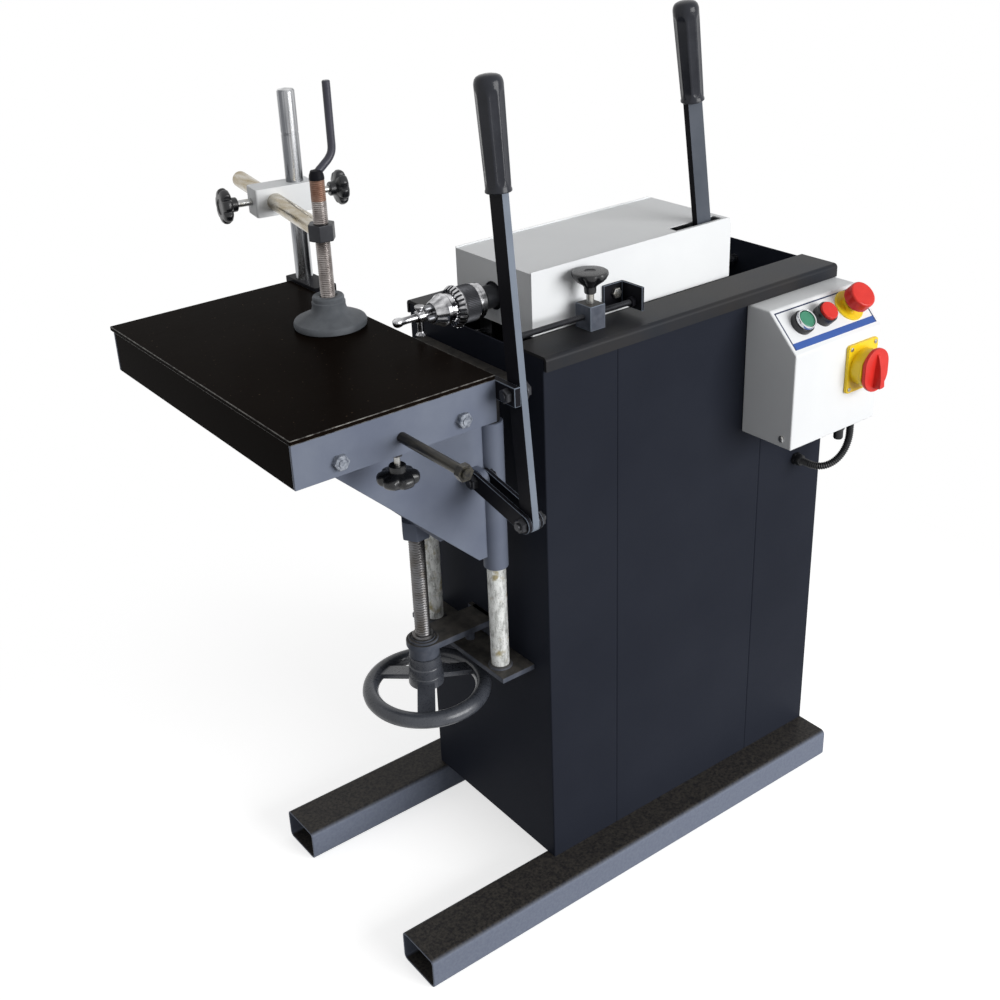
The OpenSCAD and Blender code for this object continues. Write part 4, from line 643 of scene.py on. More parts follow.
# Rubbed paint: the slate coat on the bolts, worn through in spots by the spanner.
rubbed_paint = surface("rubbed_slate_paint", "#5c626f", "#a6acb6", 0.34, 1.5, 60, cloud_mm=5, specular=0.3)
BOLT_R = 5
LINK_OUT = (LINK_X[0], LINK_X[1] + LINK_THICK)
bm = bmesh.new()
bolts(bm, [((x, y, z), (way, 0, 0), 17) for y, z in (LEVER_FOOT, LUG_PIN)
           for x, way in zip(LINK_OUT, (-1, 1))], blackened, 0.34)
for y, z in (LEVER_FOOT, LUG_PIN):
    round_bar(bm, BOLT_R, *LINK_OUT, at(0, y, z, ALONG_X))
piece("link_bolts_hex", bm, [blackened], "lift", "zinc_steel", "link_bolts")
TABLE_Y = (-159.5, 337.5)
FAR_SKIRT = 328
bm = bmesh.new()
bolts(bm, [((x, y, GUIDE_Z), (0, way, 0), 17.5) for x in GUIDE_X
           for y, way in ((TABLE_Y[0], -1), (FAR_SKIRT, 1))], rubbed_paint, 0.14)
piece("guide_bolts_hex", bm, [rubbed_paint], "table", "zinc_steel", "guide_rod_bolts")
DRIVE_PIN = (-182.6, 834)
drive_axis = at(0, *DRIVE_PIN, ALONG_X)
bm = bmesh.new()
round_bar(bm, BOLT_R, -225.5, -199, drive_axis)
lathe(bm, [(BOLT_R, -202), (12.4, -202), (13, -201.4), (13, -200.2), (12.4, -199.5), (BOLT_R, -199.5)],
      drive_axis, 36, loop=True)
bolts(bm, [((-222.5, *DRIVE_PIN), (-1, 0, 0), 17), ((-199.6, *DRIVE_PIN), (1, 0, 0), 17)], blackened)
piece("drive_bolt_hex", bm, [blackened], "table", "zinc_steel", "lever_bolt")


# Table top: a 6 mm plate with eased edges, sprayed with gloss brown-black enamel; work has scuffed the top
# and chipped the edges to bright steel.
def scuffed_gloss(name):
    """Deep enamel, dull along its scuffs, with flecks of dust on the faces that look up."""
    material, tree, place = open_material(name)
    # Scuffs are 60 mm long and 2 mm wide, along the way the work is pushed.
    slide = add(tree, "ShaderNodeMapping", {"Vector": place, "Scale": (1000 / 60, 1000 / 2, 1000 / 2),
                                            "Rotation": (0, 0, 0.3)})
    scuff = add(tree, "ShaderNodeTexNoise", {"Vector": slide.outputs[0], "Scale": 1.0, "Detail": 3.0})
    worn = add(tree, "ShaderNodeMapRange", {"Value": scuff.outputs["Fac"], "From Min": 0.55, "From Max": 0.75,
                                            "To Min": 0.3, "To Max": 0.42})
    clouds = add(tree, "ShaderNodeTexNoise", {"Vector": place, "Scale": 1000 / 150, "Detail": 4.0})
    deep = add(tree, "ShaderNodeMix", {0: clouds.outputs["Fac"], 6: srgb("#100c09"), 7: srgb("#18120e")},
               data_type="RGBA")
    # Flecks of wood dust are the few peaks of a noise of 4 mm, far between.
    dust = add(tree, "ShaderNodeTexNoise", {"Vector": place, "Scale": 1000 / 4, "Detail": 3.0})
    fleck = add(tree, "ShaderNodeMapRange", {"Value": dust.outputs["Fac"], "From Min": 0.7, "From Max": 0.76})
    facing = add(tree, "ShaderNodeSeparateXYZ", {0: add(tree, "ShaderNodeNewGeometry").outputs["Normal"]})
    lying = add(tree, "ShaderNodeMath", {0: fleck.outputs[0], 1: facing.outputs["Z"]}, operation="MULTIPLY",
                use_clamp=True)
    tone = add(tree, "ShaderNodeMix", {0: lying.outputs[0], 6: deep.outputs[2], 7: srgb("#57493b")},
               data_type="RGBA")
    # Orange peel is 5 mm wide and 0.04 mm deep.
    peel = add(tree, "ShaderNodeTexNoise", {"Vector": place, "Scale": 1000 / 5, "Detail": 2.0})
    relief = add(tree, "ShaderNodeBump", {"Height": peel.outputs["Fac"], "Distance": 0.00004})
    close_material(tree, {"Base Color": tone.outputs[2], "Roughness": worn.outputs[0],
                          "Normal": relief.outputs[0], "Specular IOR Level": 0.003})
    return material


# Gloss enamel: brown-black and deep, with soft orange peel and fine dull scuffs.
table_gloss = scuffed_gloss("gloss_black_enamel")
# Chipped edge: the same enamel knocked off in flakes of a few millimetres, bare grey steel between.
chipped_edge = surface("chipped_enamel_edge", "#1d1815", "#8d8b86", 0.4, 1.5, 40, cloud_mm=9, specular=0.1)
TABLE_X = (-503.5, -222.5)
TABLE_Z = (847, 853)
table_mid = ((TABLE_X[0] + TABLE_X[1]) / 2, (TABLE_Y[0] + TABLE_Y[1]) / 2)
bm = bmesh.new()
prism(bm, rounded(TABLE_X[1] - TABLE_X[0], TABLE_Y[1] - TABLE_Y[0], 1.5, 3), *TABLE_Z, at(*table_mid, 0), 0.9,
      rim=1)
piece("table_plate", bm, [table_gloss, chipped_edge], "table", "gloss_black_enamel", "table_top")


# Table frame: skirts of 4.5 mm flat bar welded under the plate, with the drive lug, the holder of the
# hold-down column and the clamp of the lateral stop rod. The apron takes the top's black enamel as painted
# shade, the rest slate.
def dress(finish, *names):
    """Gives CAD nodes whose shape is right their finish."""
    for name in names:
        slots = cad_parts[name].data.materials
        slots.clear()
        slots.append(finish)


APRON_X = -503
SKIRT_Z = 792
SKIRT = 4.5
DRIVE_LUG = ((-223, -196.6, 821.5), (-213.5, -102.6, 846.5))
COLUMN_HOLDER = ((-223, 264, SKIRT_Z), (-187.5, 350, 858))
STOP_CLAMP = ((-375, -155.2, 791), (-345, -134, 830))
within = (TABLE_Y[0] + SKIRT, FAR_SKIRT - SKIRT)
bm = bmesh.new()
# The apron is drawn in the top's black enamel, a painted shade on the face turned from the light.
block(bm, (APRON_X, within[0], SKIRT_Z), (APRON_X + SKIRT, within[1], TABLE_Z[0]), 0.7, mat=1)
block(bm, (TABLE_X[1] - SKIRT, within[0], SKIRT_Z), (TABLE_X[1], within[1], TABLE_Z[0]), 0.7)
for y in (TABLE_Y[0], FAR_SKIRT - SKIRT):
    block(bm, (APRON_X, y, SKIRT_Z), (TABLE_X[1], y + SKIRT, TABLE_Z[0]), 0.9)
# The drive lug is black lacquer; its pale rounded edges are a painted highlight.
block(bm, *DRIVE_LUG, 0.9, mat=2, rim=3)
block(bm, *COLUMN_HOLDER, 1.5, mat=2)
block(bm, *STOP_CLAMP, 1.0)
piece("table_frame_welded", bm, [slate_powder, table_gloss, black_lacquer, painted_highlight_enamel], "table",
      "grey_black_enamel", "table_frame")
# Ground bar: bright drawn steel with fine rings round it; its long dark and pale streaks are painted
# reflections.
ground_bar_painted_reflections = surface("ground_bar_steel_painted_reflections", "#6c6e72", "#d2d3d5", 0.22, (3.0, 3.0, 0.4), 12,
                       cloud_mm=(8, 8, 240), metallic=1.0)
dress(ground_bar_painted_reflections, "table_guide_rods", "slide_rods")


# Lateral stop: a 13 mm blackened rod through the near skirt with a hex nut at its outer end; a lobed knob
# under the skirt locks it on a bright stud.

# Oily black bar: nearly black, with straw-coloured streaks along it, partly dried oil and partly a painted
# highlight.
oil_and_highlight_bar = surface("black_bar_oil_and_painted_highlight", "#121215", "#403d34", 0.34, 1.2, 25, cloud_mm=(5, 45, 5), specular=0.3)
SIDE_ROD_X = -360
SIDE_ROD_Z = 814
side_rod = at(SIDE_ROD_X, 0, SIDE_ROD_Z, ALONG_Y)
bm = bmesh.new()
lathe(bm, [(0, -289.5), (5.3, -289.5), (6.5, -288.3), (6.5, -40.7), (5.3, -39.5), (0, -39.5)], side_rod, 32)
prism(bm, hexagon(19), -285.5, -276.5, side_rod, 0.9)
piece("lateral_stop_bar", bm, [oil_and_highlight_bar], "side_stop", "zinc_steel", "lateral_stop_rod")
NOTCH = 0.19
NOTCH_NARROW = 9
STEPS_A_LOBE = 16


def lobed(bm, width, levels, place, lobes=7):
    """A moulded knob; each level is a share of the radius, a height and how deep the notches cut there."""
    steps = lobes * STEPS_A_LOBE
    rings = []
    for share, height, cut in levels:
        ring = []
        for i in range(steps):
            t = 2 * math.pi * i / steps
            notch = abs(math.cos(lobes * t / 2)) ** NOTCH_NARROW
            reach = width / 2 * share * (1 - NOTCH * cut * notch)
            ring.append(place @ Vector((reach * math.cos(t), reach * math.sin(t), height)))
        rings.append(ring)
    loft(bm, rings, caps=False)


# Moulded phenolic: black, half gloss, with a very fine mould grain.
phenolic = surface("moulded_black_phenolic", "#121316", "#1b1c20", 0.3, 1.1, 14, cloud_mm=20)
# Zinc plate: pale grey with a thin blue-yellow cast, soft sheen, fine dull speckle.
zinc_plate = surface("zinc_plated_steel", "#b4b6b8", "#a09d95", 0.3, 0.9, 18, cloud_mm=9, metallic=0.9)
# A hub with a notched disc on it, dished at the top.
DISC_KNOB = [(0.0, -1, 0), (0.36, -1, 0), (0.4, 0, 0), (0.42, 7, 0), (0.54, 8.6, 0.2), (0.82, 9.8, 0.8),
             (0.94, 11.4, 1), (1.0, 14, 1), (1.0, 17.4, 1), (0.96, 20.4, 1), (0.88, 22.4, 0.9),
             (0.76, 23.6, 0.5), (0.6, 24, 0), (0.46, 24, 0), (0.42, 22.6, 0), (0.0, 22.6, 0)]
LOCK_Y = -145
LOCK_KNOB_Z = 773
lock_axis = at(SIDE_ROD_X, LOCK_Y, 0)
bm = bmesh.new()
lobed(bm, 52, DISC_KNOB, lock_axis @ at(0, 0, LOCK_KNOB_Z, Matrix.Rotation(math.pi, 4, "X")), 6)
round_bar(bm, 4, 772, 806.5, lock_axis, mat=1)
prism(bm, hexagon(13), 785.4, 790.6, lock_axis, 0.6, mat=2)
piece("table_lock_lobed", bm, [phenolic, zinc_plate, blackened], "side_lock", "black_plastic",
      "table_lock_knob")


# Table lever: a flat bar 25 x 10 mm with a round foot, pivoted in the double link; the drive bolt of the
# table goes through it. Faces in black lacquer as painted shade, narrow edges pale grey as a painted
# highlight.
LEVER_X = -212.5
LEVER_LEAN = math.radians(-5.5)
LEVER_HALF = 12.5
LEVER_THICK = 10
TANG_END = 412
table_lever = at(LEVER_X, *LEVER_FOOT, Matrix.Rotation(LEVER_LEAN, 4, "X"))
lever_bar = arc(0, 0, LEVER_HALF, 180, 360, 12) + [(LEVER_HALF, TANG_END), (-LEVER_HALF, TANG_END)]
bm = bmesh.new()
prism(bm, lever_bar, 0, LEVER_THICK, table_lever @ ALONG_X, 0.8, mat=1, ends=0)
piece("table_lever_bar", bm, [black_lacquer, painted_highlight_enamel], "table_arm", "grey_black_enamel", "table_lever")


# Lever grips: charcoal moulded sleeves, widest near the top, with eight shallow flutes and a low domed end,
# pushed over the tang of each lever. The head lever's grip is drawn with its lever.
GRIP_FOOT = ((7.2, 0.4), (14.8, 0), (15.8, 1), (15.8, 3))
GRIP_DOME = ((16.9, 120), (16.3, 122.6), (15.4, 125), (13.4, 127.4), (10, 129), (5, 130), (0, 130))
GRIP_LOW = 5
GRIP_RUN = 113
GRIP_SLIM = 15
GRIP_FLARE = 2
FLUTES = 8
FLUTE_DEEP = 1.1
FLUTE_SHARE = 0.4
FLUTE_MID = 60
FLUTE_HALF = 46
FLUTE_END = 7


def grip(bm, place):
    """A fluted grip standing on Z = 0 of its frame."""
    steps, rows = 96, 66
    rings = [[level] * steps for level in GRIP_FOOT]
    for k in range(rows + 1):
        height = GRIP_LOW + GRIP_RUN * k / rows
        radius = GRIP_SLIM + GRIP_FLARE * k / rows
        end = max(0.0, (abs(height - FLUTE_MID) - FLUTE_HALF) / FLUTE_END)
        ring = []
        for i in range(steps):
            across = ((i * FLUTES / steps) % 1 - 0.5) / FLUTE_SHARE
            hollow = max(0.0, 1 - across * across - end * end)
            ring.append((radius - FLUTE_DEEP * hollow ** 0.7, height))
        rings.append(ring)
    rings += [[level] * steps for level in GRIP_DOME]
    turns = [2 * math.pi * i / steps for i in range(steps)]
    loft(bm, [[place @ Vector((r * math.cos(t), r * math.sin(t), h)) for t, (r, h) in zip(turns, ring)]
              for ring in rings], caps=False)


# Grip plastic: blue-charcoal satin with a broad soft highlight.
grip_black = surface("moulded_grip_plastic", "#26282f", "#2f3138", 0.22, 1.6, 25, cloud_mm=25, specular=0.24)
OVER_TANG = 3
bm = bmesh.new()
grip(bm, table_lever @ at(LEVER_THICK / 2, 0, TANG_END - OVER_TANG))
piece("table_grip_fluted", bm, [grip_black], "table_arm", "black_plastic", "table_lever_grip")


# Hold-down column: a 25 mm ground steel bar that stands in the holder at the table's corner, with a
# chamfered top and one turned groove. It is left bright.
COLUMN = (-207, 321)
COLUMN_R = 12.5
bm = bmesh.new()
lathe(bm, [(0, 792), (COLUMN_R, 792), (COLUMN_R, 1067.2), (11.8, 1067.7), (11.8, 1069.3), (COLUMN_R, 1069.8),
           (COLUMN_R, 1126), (11, 1128), (0, 1128)], at(*COLUMN, 0), 48)
piece("column_ground", bm, [ground_bar_painted_reflections], "table", "bright_steel", "hold_down_column")


# Clamp block: a milled block on the column, sprayed white, bored for the column and the cross rod, with a
# lobed knob screwed into each end.

# White enamel: clean satin white with a trace of grey, slight orange peel.
white_enamel = surface("satin_white_enamel", "#eff1f2", "#e8eaec", 0.38, 2.2, 40, cloud_mm=200, specular=0.2)
CLAMP_TURN = math.radians(9.5)
CLAMP_Z = 981
CLAMP_SIZE = (88, 40)
CLAMP_HALF = 20
column = at(*COLUMN, 0, Matrix.Rotation(-CLAMP_TURN, 4, "Z"))
bm = bmesh.new()
prism(bm, rounded(*CLAMP_SIZE, 3.5), CLAMP_Z - CLAMP_HALF, CLAMP_Z + CLAMP_HALF, column @ at(-22, 0, 0), 1.4)
piece("clamp_block_milled", bm, [white_enamel], "clamp_carrier", "white_enamel", "clamp_block")
for name, body, start, way, knob in (("rod_knob", "rod_lock", -65, -1, -89),
                                     ("column_knob", "column_lock", 21, 1, 51)):
    bm = bmesh.new()
    lobed(bm, 50, DISC_KNOB, column @ at(knob, 0, CLAMP_Z, Matrix.Rotation(way * math.pi / 2, 4, "Y")))
    round_bar(bm, 5, *sorted((start, knob + way)), column @ at(0, 0, CLAMP_Z, ALONG_X), mat=1)
    piece(name + "_lobed", bm, [phenolic, zinc_plate], body, "black_plastic", name)


# Cross rod: a 24 mm steel bar through the clamp block, plated yellow, with a big blackened hexagon nut
# welded on its end for the clamp screw.

# Yellow passivated zinc: straw-coloured bright bar with rubbed silver streaks.
yellow_zinc = surface("yellow_passivated_zinc", "#8f7f5c", "#bdb8ae", 0.24, (4.0, 12.0, 4.0), 20,
                      cloud_mm=(9, 70, 9), metallic=1.0)
CROSS_X = -38
REACH = -200
bm = bmesh.new()
lathe(bm, [(0, -186), (12, -186), (12, 138.4), (10.4, 140), (0, 140)],
      column @ at(CROSS_X, 0, CLAMP_Z, ALONG_Y), 40)
prism(bm, hexagon(32), CLAMP_Z - 11, CLAMP_Z + 11, column @ at(CROSS_X, REACH, 0), 1.2, mat=1)
piece("cross_rod_plated", bm, [yellow_zinc, blackened], "clamp_arm", "bright_steel", "cross_rod")


# Clamp screw and pad: a 20 mm threaded steel spindle with a bent 10 mm crank welded on top, and a round
# cast pad that swivels on its foot.
def sweep(bm, path, radius, steps=18, mat=0):
    """A round bar along a path, with closed ends."""
    rings = []
    side = None
    for i, spot in enumerate(path):
        way = (path[min(i + 1, len(path) - 1)] - path[max(i - 1, 0)]).normalized()
        side = (side - way * side.dot(way)).normalized() if side else way.orthogonal().normalized()
        over = way.cross(side)
        rings.append([spot + radius * (side * math.cos(t) + over * math.sin(t))
                      for t in (2 * math.pi * k / steps for k in range(steps))])
    loft(bm, rings, mat=mat)


def bend(a, b, c, d, steps):
    """Points on a cubic curve with those pulls."""
    return [(1 - t) ** 3 * a + 3 * t * (1 - t) ** 2 * b + 3 * t * t * (1 - t) * c + t ** 3 * d
            for t in (i / steps for i in range(steps + 1))]


# Silvery thread steel: brighter and pinker than the lift screw's, wiped clean by the nut.
clamp_steel = surface("wiped_thread_steel", "#a39d9a", "#77706d", 0.34, (0.8, 0.8, 0.3), 20, cloud_mm=16,
                      metallic=0.85)
# Heat-tinted steel: the welded top of the spindle has gone rust-brown.
heat_tint = surface("heat_tinted_steel", "#7d5a49", "#957868", 0.5, (1.0, 1.0, 0.5), 20, cloud_mm=14,
                    metallic=0.5)
# Crank enamel: blue-black brushed over a drawn bar, with a soft gleam along its length.
crank_enamel = surface("crank_enamel", "#33333f", "#3f3f4b", 0.36, (2.0, 2.0, 14.0), 30, cloud_mm=40,
                       specular=0.4)
CRANK_R = 5.25
CRANK_OUT = 26
CRANK_TOP = 1166.6
CLAMP_PITCH = 2.5
screw_axis = column @ at(CROSS_X, REACH, 0, Matrix.Rotation(CLAMP_TURN, 4, "Z"))
bm = bmesh.new()
thread(bm, 10, length=150, pitch=CLAMP_PITCH, depth=1.1, place=screw_axis @ at(0, 0, 871.5),
       finish=clamp_steel)
thread(bm, 9.9, length=29.5, pitch=CLAMP_PITCH, depth=0.6, place=screw_axis @ at(0, 0, 1021.4),
       finish=heat_tint, mat=1)
foot = Vector((0, 0, 1046))
knee = Vector((CRANK_OUT, 0, 1077))
crank = (bend(foot, foot + Vector((0, 0, 9)), foot + Vector((3, 0, 13)), foot + Vector((8, 0, 16)), 6)
         + bend(knee - Vector((8, 0, 7)), knee - Vector((2, 0, 1)), knee + Vector((0, 0, 3)),
                knee + Vector((0, 0, 12)), 8) + [Vector((CRANK_OUT, 0, CRANK_TOP))])
sweep(bm, [screw_axis @ p for p in crank], CRANK_R, mat=2)
lathe(bm, [(0, 0), (CRANK_R, 0), (4.4, 1.2), (0, 1.4)], screw_axis @ at(CRANK_OUT, 0, CRANK_TOP), 18, mat=2)
lathe(bm, [(0, 1048), (9.4, 1048), (10, 1048.8), (10, 1051), (9.4, 1055), (7.4, 1060), (0, 1062)],
      screw_axis, 28, mat=3)
piece("clamp_screw_threaded", bm, [clamp_steel, heat_tint, crank_enamel, black_lacquer], "clamp_drive",
      "zinc_steel", "clamp_screw")
# Chalky pad paint: matt grey over cast iron, lighter where it has turned to chalk.
pad_grey = surface("chalky_grey_pad", "#5f6368", "#707479", 0.6, 2.2, 60, cloud_mm=24, specular=0.2)
bm = bmesh.new()
lathe(bm, [(0, 853), (46.5, 853), (48.4, 854), (49, 856), (49, 860), (47.6, 862.6), (44, 864.4), (33, 868.6),
           (26, 873), (23.4, 877), (22.4, 881), (22.4, 887), (21.2, 888.4), (21.2, 893), (19.8, 895),
           (13, 895), (11, 893.6), (10.1, 890), (10.1, 871), (0, 871)], screw_axis, 64)
piece("clamp_pad_moulded", bm, [pad_grey], "pad", "cast_black", "clamp_pad")


# Head cover: a box of 1.5 mm sheet over the spindle, folded and spot welded, the side sheets standing a
# little over the top; a slot in the top lets the lever swing. Sprayed white.
def holed_sheet(bm, wide, high, hole, low, top, place):
    """A rectangular sheet about the origin with a round hole at (u, v, radius)."""
    u, v, radius = hole
    corners = [math.atan2(sv * high / 2 - v, su * wide / 2 - u) for su in (-1, 1) for sv in (-1, 1)]
    turns = sorted(corners + [2 * math.pi * i / 36 - math.pi for i in range(36)])
    rim, edge = [], []
    for t in turns:
        c, s = math.cos(t), math.sin(t)
        reach = min(((math.copysign(wide / 2, c) - u) / c) if abs(c) > 1e-9 else 1e9,
                    ((math.copysign(high / 2, s) - v) / s) if abs(s) > 1e-9 else 1e9)
        rim.append((u + radius * c, v + radius * s))
        edge.append((u + reach * c, v + reach * s))
    loft(bm, [[place @ Vector((x, y, h)) for x, y in ring]
              for ring, h in ((edge, low), (rim, low), (rim, top), (edge, top))], loop=True)


COVER_X = (-103, 254)
COVER_Y = 81.5
COVER_Z = (848, 932)
COVER_SHEET = 1.5
COVER_RISE = 2
COVER_ROUND = 7
SLOT_X = (158, 246)
SLOT_Y = (-72, -54)
SPINDLE_Z = 884.5
NOSE_HOLE = 19.5
bm = bmesh.new()
side_sheet = [(COVER_X[0], COVER_Z[0]), (COVER_X[1], COVER_Z[0])]
side_sheet += arc(COVER_X[1] - COVER_ROUND, COVER_Z[1] + COVER_RISE - COVER_ROUND, COVER_ROUND, 0, 90, 6)
side_sheet += [(COVER_X[0], COVER_Z[1] + COVER_RISE)]
for y in (-COVER_Y, COVER_Y - COVER_SHEET):
    prism(bm, side_sheet, y, y + COVER_SHEET, ALONG_Y, 0.5)
inner = COVER_Y - COVER_SHEET
under = COVER_Z[1] - COVER_SHEET
edge = [(COVER_X[0], -inner), (COVER_X[1], -inner), (COVER_X[1], inner), (COVER_X[0], inner)]
slot = [(SLOT_X[0], SLOT_Y[0]), (SLOT_X[1], SLOT_Y[0]), (SLOT_X[1], SLOT_Y[1]), (SLOT_X[0], SLOT_Y[1])]
levels = ((edge, under), (slot, under), (slot, COVER_Z[1]), (edge, COVER_Z[1]))
loft(bm, [[(x, y, z) for x, y in ring] for ring, z in levels], loop=True)
front_mid = (COVER_Z[0] + under) / 2
holed_sheet(bm, 2 * inner, under - COVER_Z[0], (0, SPINDLE_Z - front_mid, NOSE_HOLE), COVER_X[0],
            COVER_X[0] + COVER_SHEET, at(0, 0, front_mid, ALONG_X))
block(bm, (COVER_X[1] - COVER_SHEET, -inner, COVER_Z[0]), (COVER_X[1], inner, under), 0.3)
piece("head_cover_folded", bm, [white_enamel], "head", "white_enamel", "head_cover")


# Spindle: the housing's blackened nose stands out of the cover, and a black ring fills the gap round it in
# the cover's hole. The shaft, its bearings and the pulleys are bare machined steel; the plate that carries
# them is blackened.

# Machined steel: mid grey, fine tool lines, half bright.
machined = surface("machined_steel", "#77787b", "#65666a", 0.36, (0.5, 3.0, 3.0), 14, cloud_mm=25,
                   metallic=0.95)
dress(blackened, "head_plate", "fulcrum_bracket", "spindle_housing")
dress(machined, "spindle", "spindle_bearings", "motor_pulley")
spindle_axis = at(0, 0, SPINDLE_Z, ALONG_X)
bm = bmesh.new()
lathe(bm, [(15.6, -98.05), (19, -98.05), (19, -102), (15.6, -102)], spindle_axis, 44, loop=True)
piece("spindle_hole_black_ring", bm, [black_lacquer], "head", "dark_steel")


# Drill chuck: hardened and ground. A turned body with a bright nose cone and three key holes, a turning
# sleeve with a dark knurled band and a bevel-toothed ring, three round jaws, and the key left in the jaws.
# The key holes are black discs, painted shade.

# Chuck steel: polished and mirror-like, its dark and bright bands along it painted reflections; it is
# blackened between the teeth as painted shade.
chuck_steel = surface("polished_chuck_painted_reflections", "#6b6b6e", "#dcdcde", 0.16, (0.4, 2.5, 2.5), 6,
                      cloud_mm=(40, 9, 9), metallic=1.0)
KEY_HOLES = (30, 150, 270)
KEY_HOLE_AT = -178
bm = bmesh.new()
lathe(bm, [(8, -127), (21.4, -127), (23, -128.6), (24, -129.4), (24, -134.2), (23.2, -135), (17, -135),
           (17, -174), (19.6, -174), (20, -174.6), (20, -181), (21.4, -183), (21.4, -188), (19, -191),
           (14.6, -202), (13.6, -203), (4, -203), (4, -196), (0, -196), (0, -151), (8, -151)],
      spindle_axis, 56)
# Each key hole is a black disc at the surface, a painted shade.
for angle in KEY_HOLES:
    hole = (spindle_axis @ at(0, 0, KEY_HOLE_AT) @ Matrix.Rotation(math.radians(angle), 4, "Z")
            @ Matrix.Rotation(math.pi / 2, 4, "Y"))
    round_bar(bm, 3, 18.8, 20.2, hole, 20, mat=1)
piece("chuck_body_turned", bm, [chuck_steel, black_lacquer], "spindle_unit", "chuck_steel", "chuck_body")
BORE = 17.1
bm = bmesh.new()
for profile, mat in (
        ([(BORE, -135.4), (24.2, -135.4), (25, -136.2), (25, -139.6), (24.2, -140.2), (BORE, -140.2)], 0),
        ([(BORE, -140.2), (24.2, -140.2), (24.2, -161), (BORE, -161)], 1),
        ([(BORE, -161), (25, -161), (26.4, -162), (28, -165), (28, -166), (BORE, -166)], 0),
        # The cone under the teeth is blackened, a painted shade between them.
        ([(BORE, -166), (25.4, -166), (21, -172), (BORE, -172.4)], 1)):
    lathe(bm, profile, spindle_axis, 60, loop=True, mat=mat)
ridge = bmesh.new()
prism(ridge, [(23.9, -0.75), (24.9, 0), (23.9, 0.75)], -160.6, -140.6)
ring_of(bm, ridge, 72, spindle_axis, blackened, mat=1)
tooth = bmesh.new()
loft(tooth, [[(24.4, -1.7, -165.6), (28.3, -2.1, -165.6), (28.3, 2.1, -165.6), (24.4, 1.7, -165.6)],
             [(20.4, -1.1, -173.4), (24.2, -1.3, -173.4), (24.2, 1.3, -173.4), (20.4, 1.1, -173.4)]])
ring_of(bm, tooth, 26, spindle_axis, chuck_steel)
piece("chuck_sleeve_toothed", bm, [chuck_steel, blackened], "chuck_ring", "chuck_steel", "chuck_sleeve")
bm = bmesh.new()
jaw = bmesh.new()
lathe(jaw, [(0, -203), (4.5, -203), (4.5, -211), (3.2, -214), (0, -214)], at(0, 7.5, 0), 20)
ring_of(bm, jaw, 3, spindle_axis, machined)
piece("chuck_jaws_round", bm, [machined], "spindle_unit", "chuck_steel", "chuck_jaws")
bm = bmesh.new()
lathe(bm, [(0, -199), (3, -199), (3, -215), (7, -215), (8, -216), (8, -224.6), (7, -226), (5, -226.6),
           (4.6, -240), (5, -247.5), (6.2, -251), (6.5, -254), (6.2, -256.6), (4.8, -259), (2.6, -260.3),
           (0, -260.5)], spindle_axis, 32)
lathe(bm, [(0, 14), (6.4, 14), (6.8, 13), (5.8, 11), (3.9, 8.6), (3.7, -19), (5, -22), (6.8, -24.4),
           (6.8, -25.4), (6.2, -26), (0, -26)], at(-220, 0, SPINDLE_Z), 24)
piece("chuck_key_tee", bm, [chuck_steel], "spindle_unit", "chuck_steel", "chuck_key")


# Depth stop: a square steel block on the near rail with a mushroom lock knob, a thin threaded rod with lock
# nuts through it, and a folded angle bolted to the cover that carries the rod's end.
STOP_MID = (-27.5, -107)
STOP_HALF = (12.5, 15)
STOP_ROD_Z = 867
bm = bmesh.new()
# Its top is darker, partly dust and partly painted shade, and its rounded edges pale, a painted highlight.
block(bm, (STOP_MID[0] - STOP_HALF[0], STOP_MID[1] - STOP_HALF[1], RAIL_TOP),
      (STOP_MID[0] + STOP_HALF[0], STOP_MID[1] + STOP_HALF[1], 883), 0.9, rim=1)
piece("stop_block_milled", bm, [grey_enamel_dust_and_shade_top, painted_highlight_enamel], "base", "grey_black_enamel", "stop_block")
# A flat-topped mushroom with a notched cone under it and a dimple on top.
MUSHROOM_KNOB = [(0.0, -6, 0), (0.28, -6, 0), (0.32, -5, 0), (0.34, 3, 0), (0.46, 6, 0.4), (0.8, 12, 1),
                 (0.94, 15.4, 1), (1.0, 18.4, 0.6), (1.0, 20.6, 0.2), (0.97, 22.8, 0), (0.9, 23.9, 0),
                 (0.34, 24, 0), (0.28, 22.8, 0), (0.0, 22.6, 0)]
bm = bmesh.new()
lobed(bm, 48, MUSHROOM_KNOB, at(*STOP_MID, 902))
round_bar(bm, 5, 872, 903, at(*STOP_MID, 0), mat=1)
piece("stop_knob_mushroom", bm, [phenolic, zinc_plate], "stop_lock", "black_plastic", "stop_knob")
STOP_NUTS = (4, 11, 205.5)
STOP_NUT = 6.5
stop_axis = at(-165, STOP_MID[1], STOP_ROD_Z, ALONG_X)
bm = bmesh.new()
thread(bm, 4, length=220, pitch=1.25, depth=0.6, place=stop_axis, finish=blackened)
for x in STOP_NUTS:
    prism(bm, hexagon(12.8, 30), x, x + STOP_NUT, stop_axis, 0.7, mat=1)
piece("stop_rod_threaded", bm, [blackened, black_lacquer], "head", "zinc_steel", "stop_rod")
ANGLE_Z = (857, 890)
bm = bmesh.new()
folded = [(15, -81.5), (15, -85.5), (47, -85.5), (47, -124), (51, -124)] + arc(48, -84.5, 3, 0, 90, 4)
# Its rounded edges are pale, a painted highlight.
prism(bm, folded, *ANGLE_Z, bevel=0.6, rim=2)
bolts(bm, [((35, -85.5, 877), (0, -1, 0), 13)], zinc_plate, mat=1)
piece("stop_angle_folded", bm, [black_lacquer, zinc_plate, painted_highlight_enamel], "head", "grey_black_enamel",
      "stop_bracket")
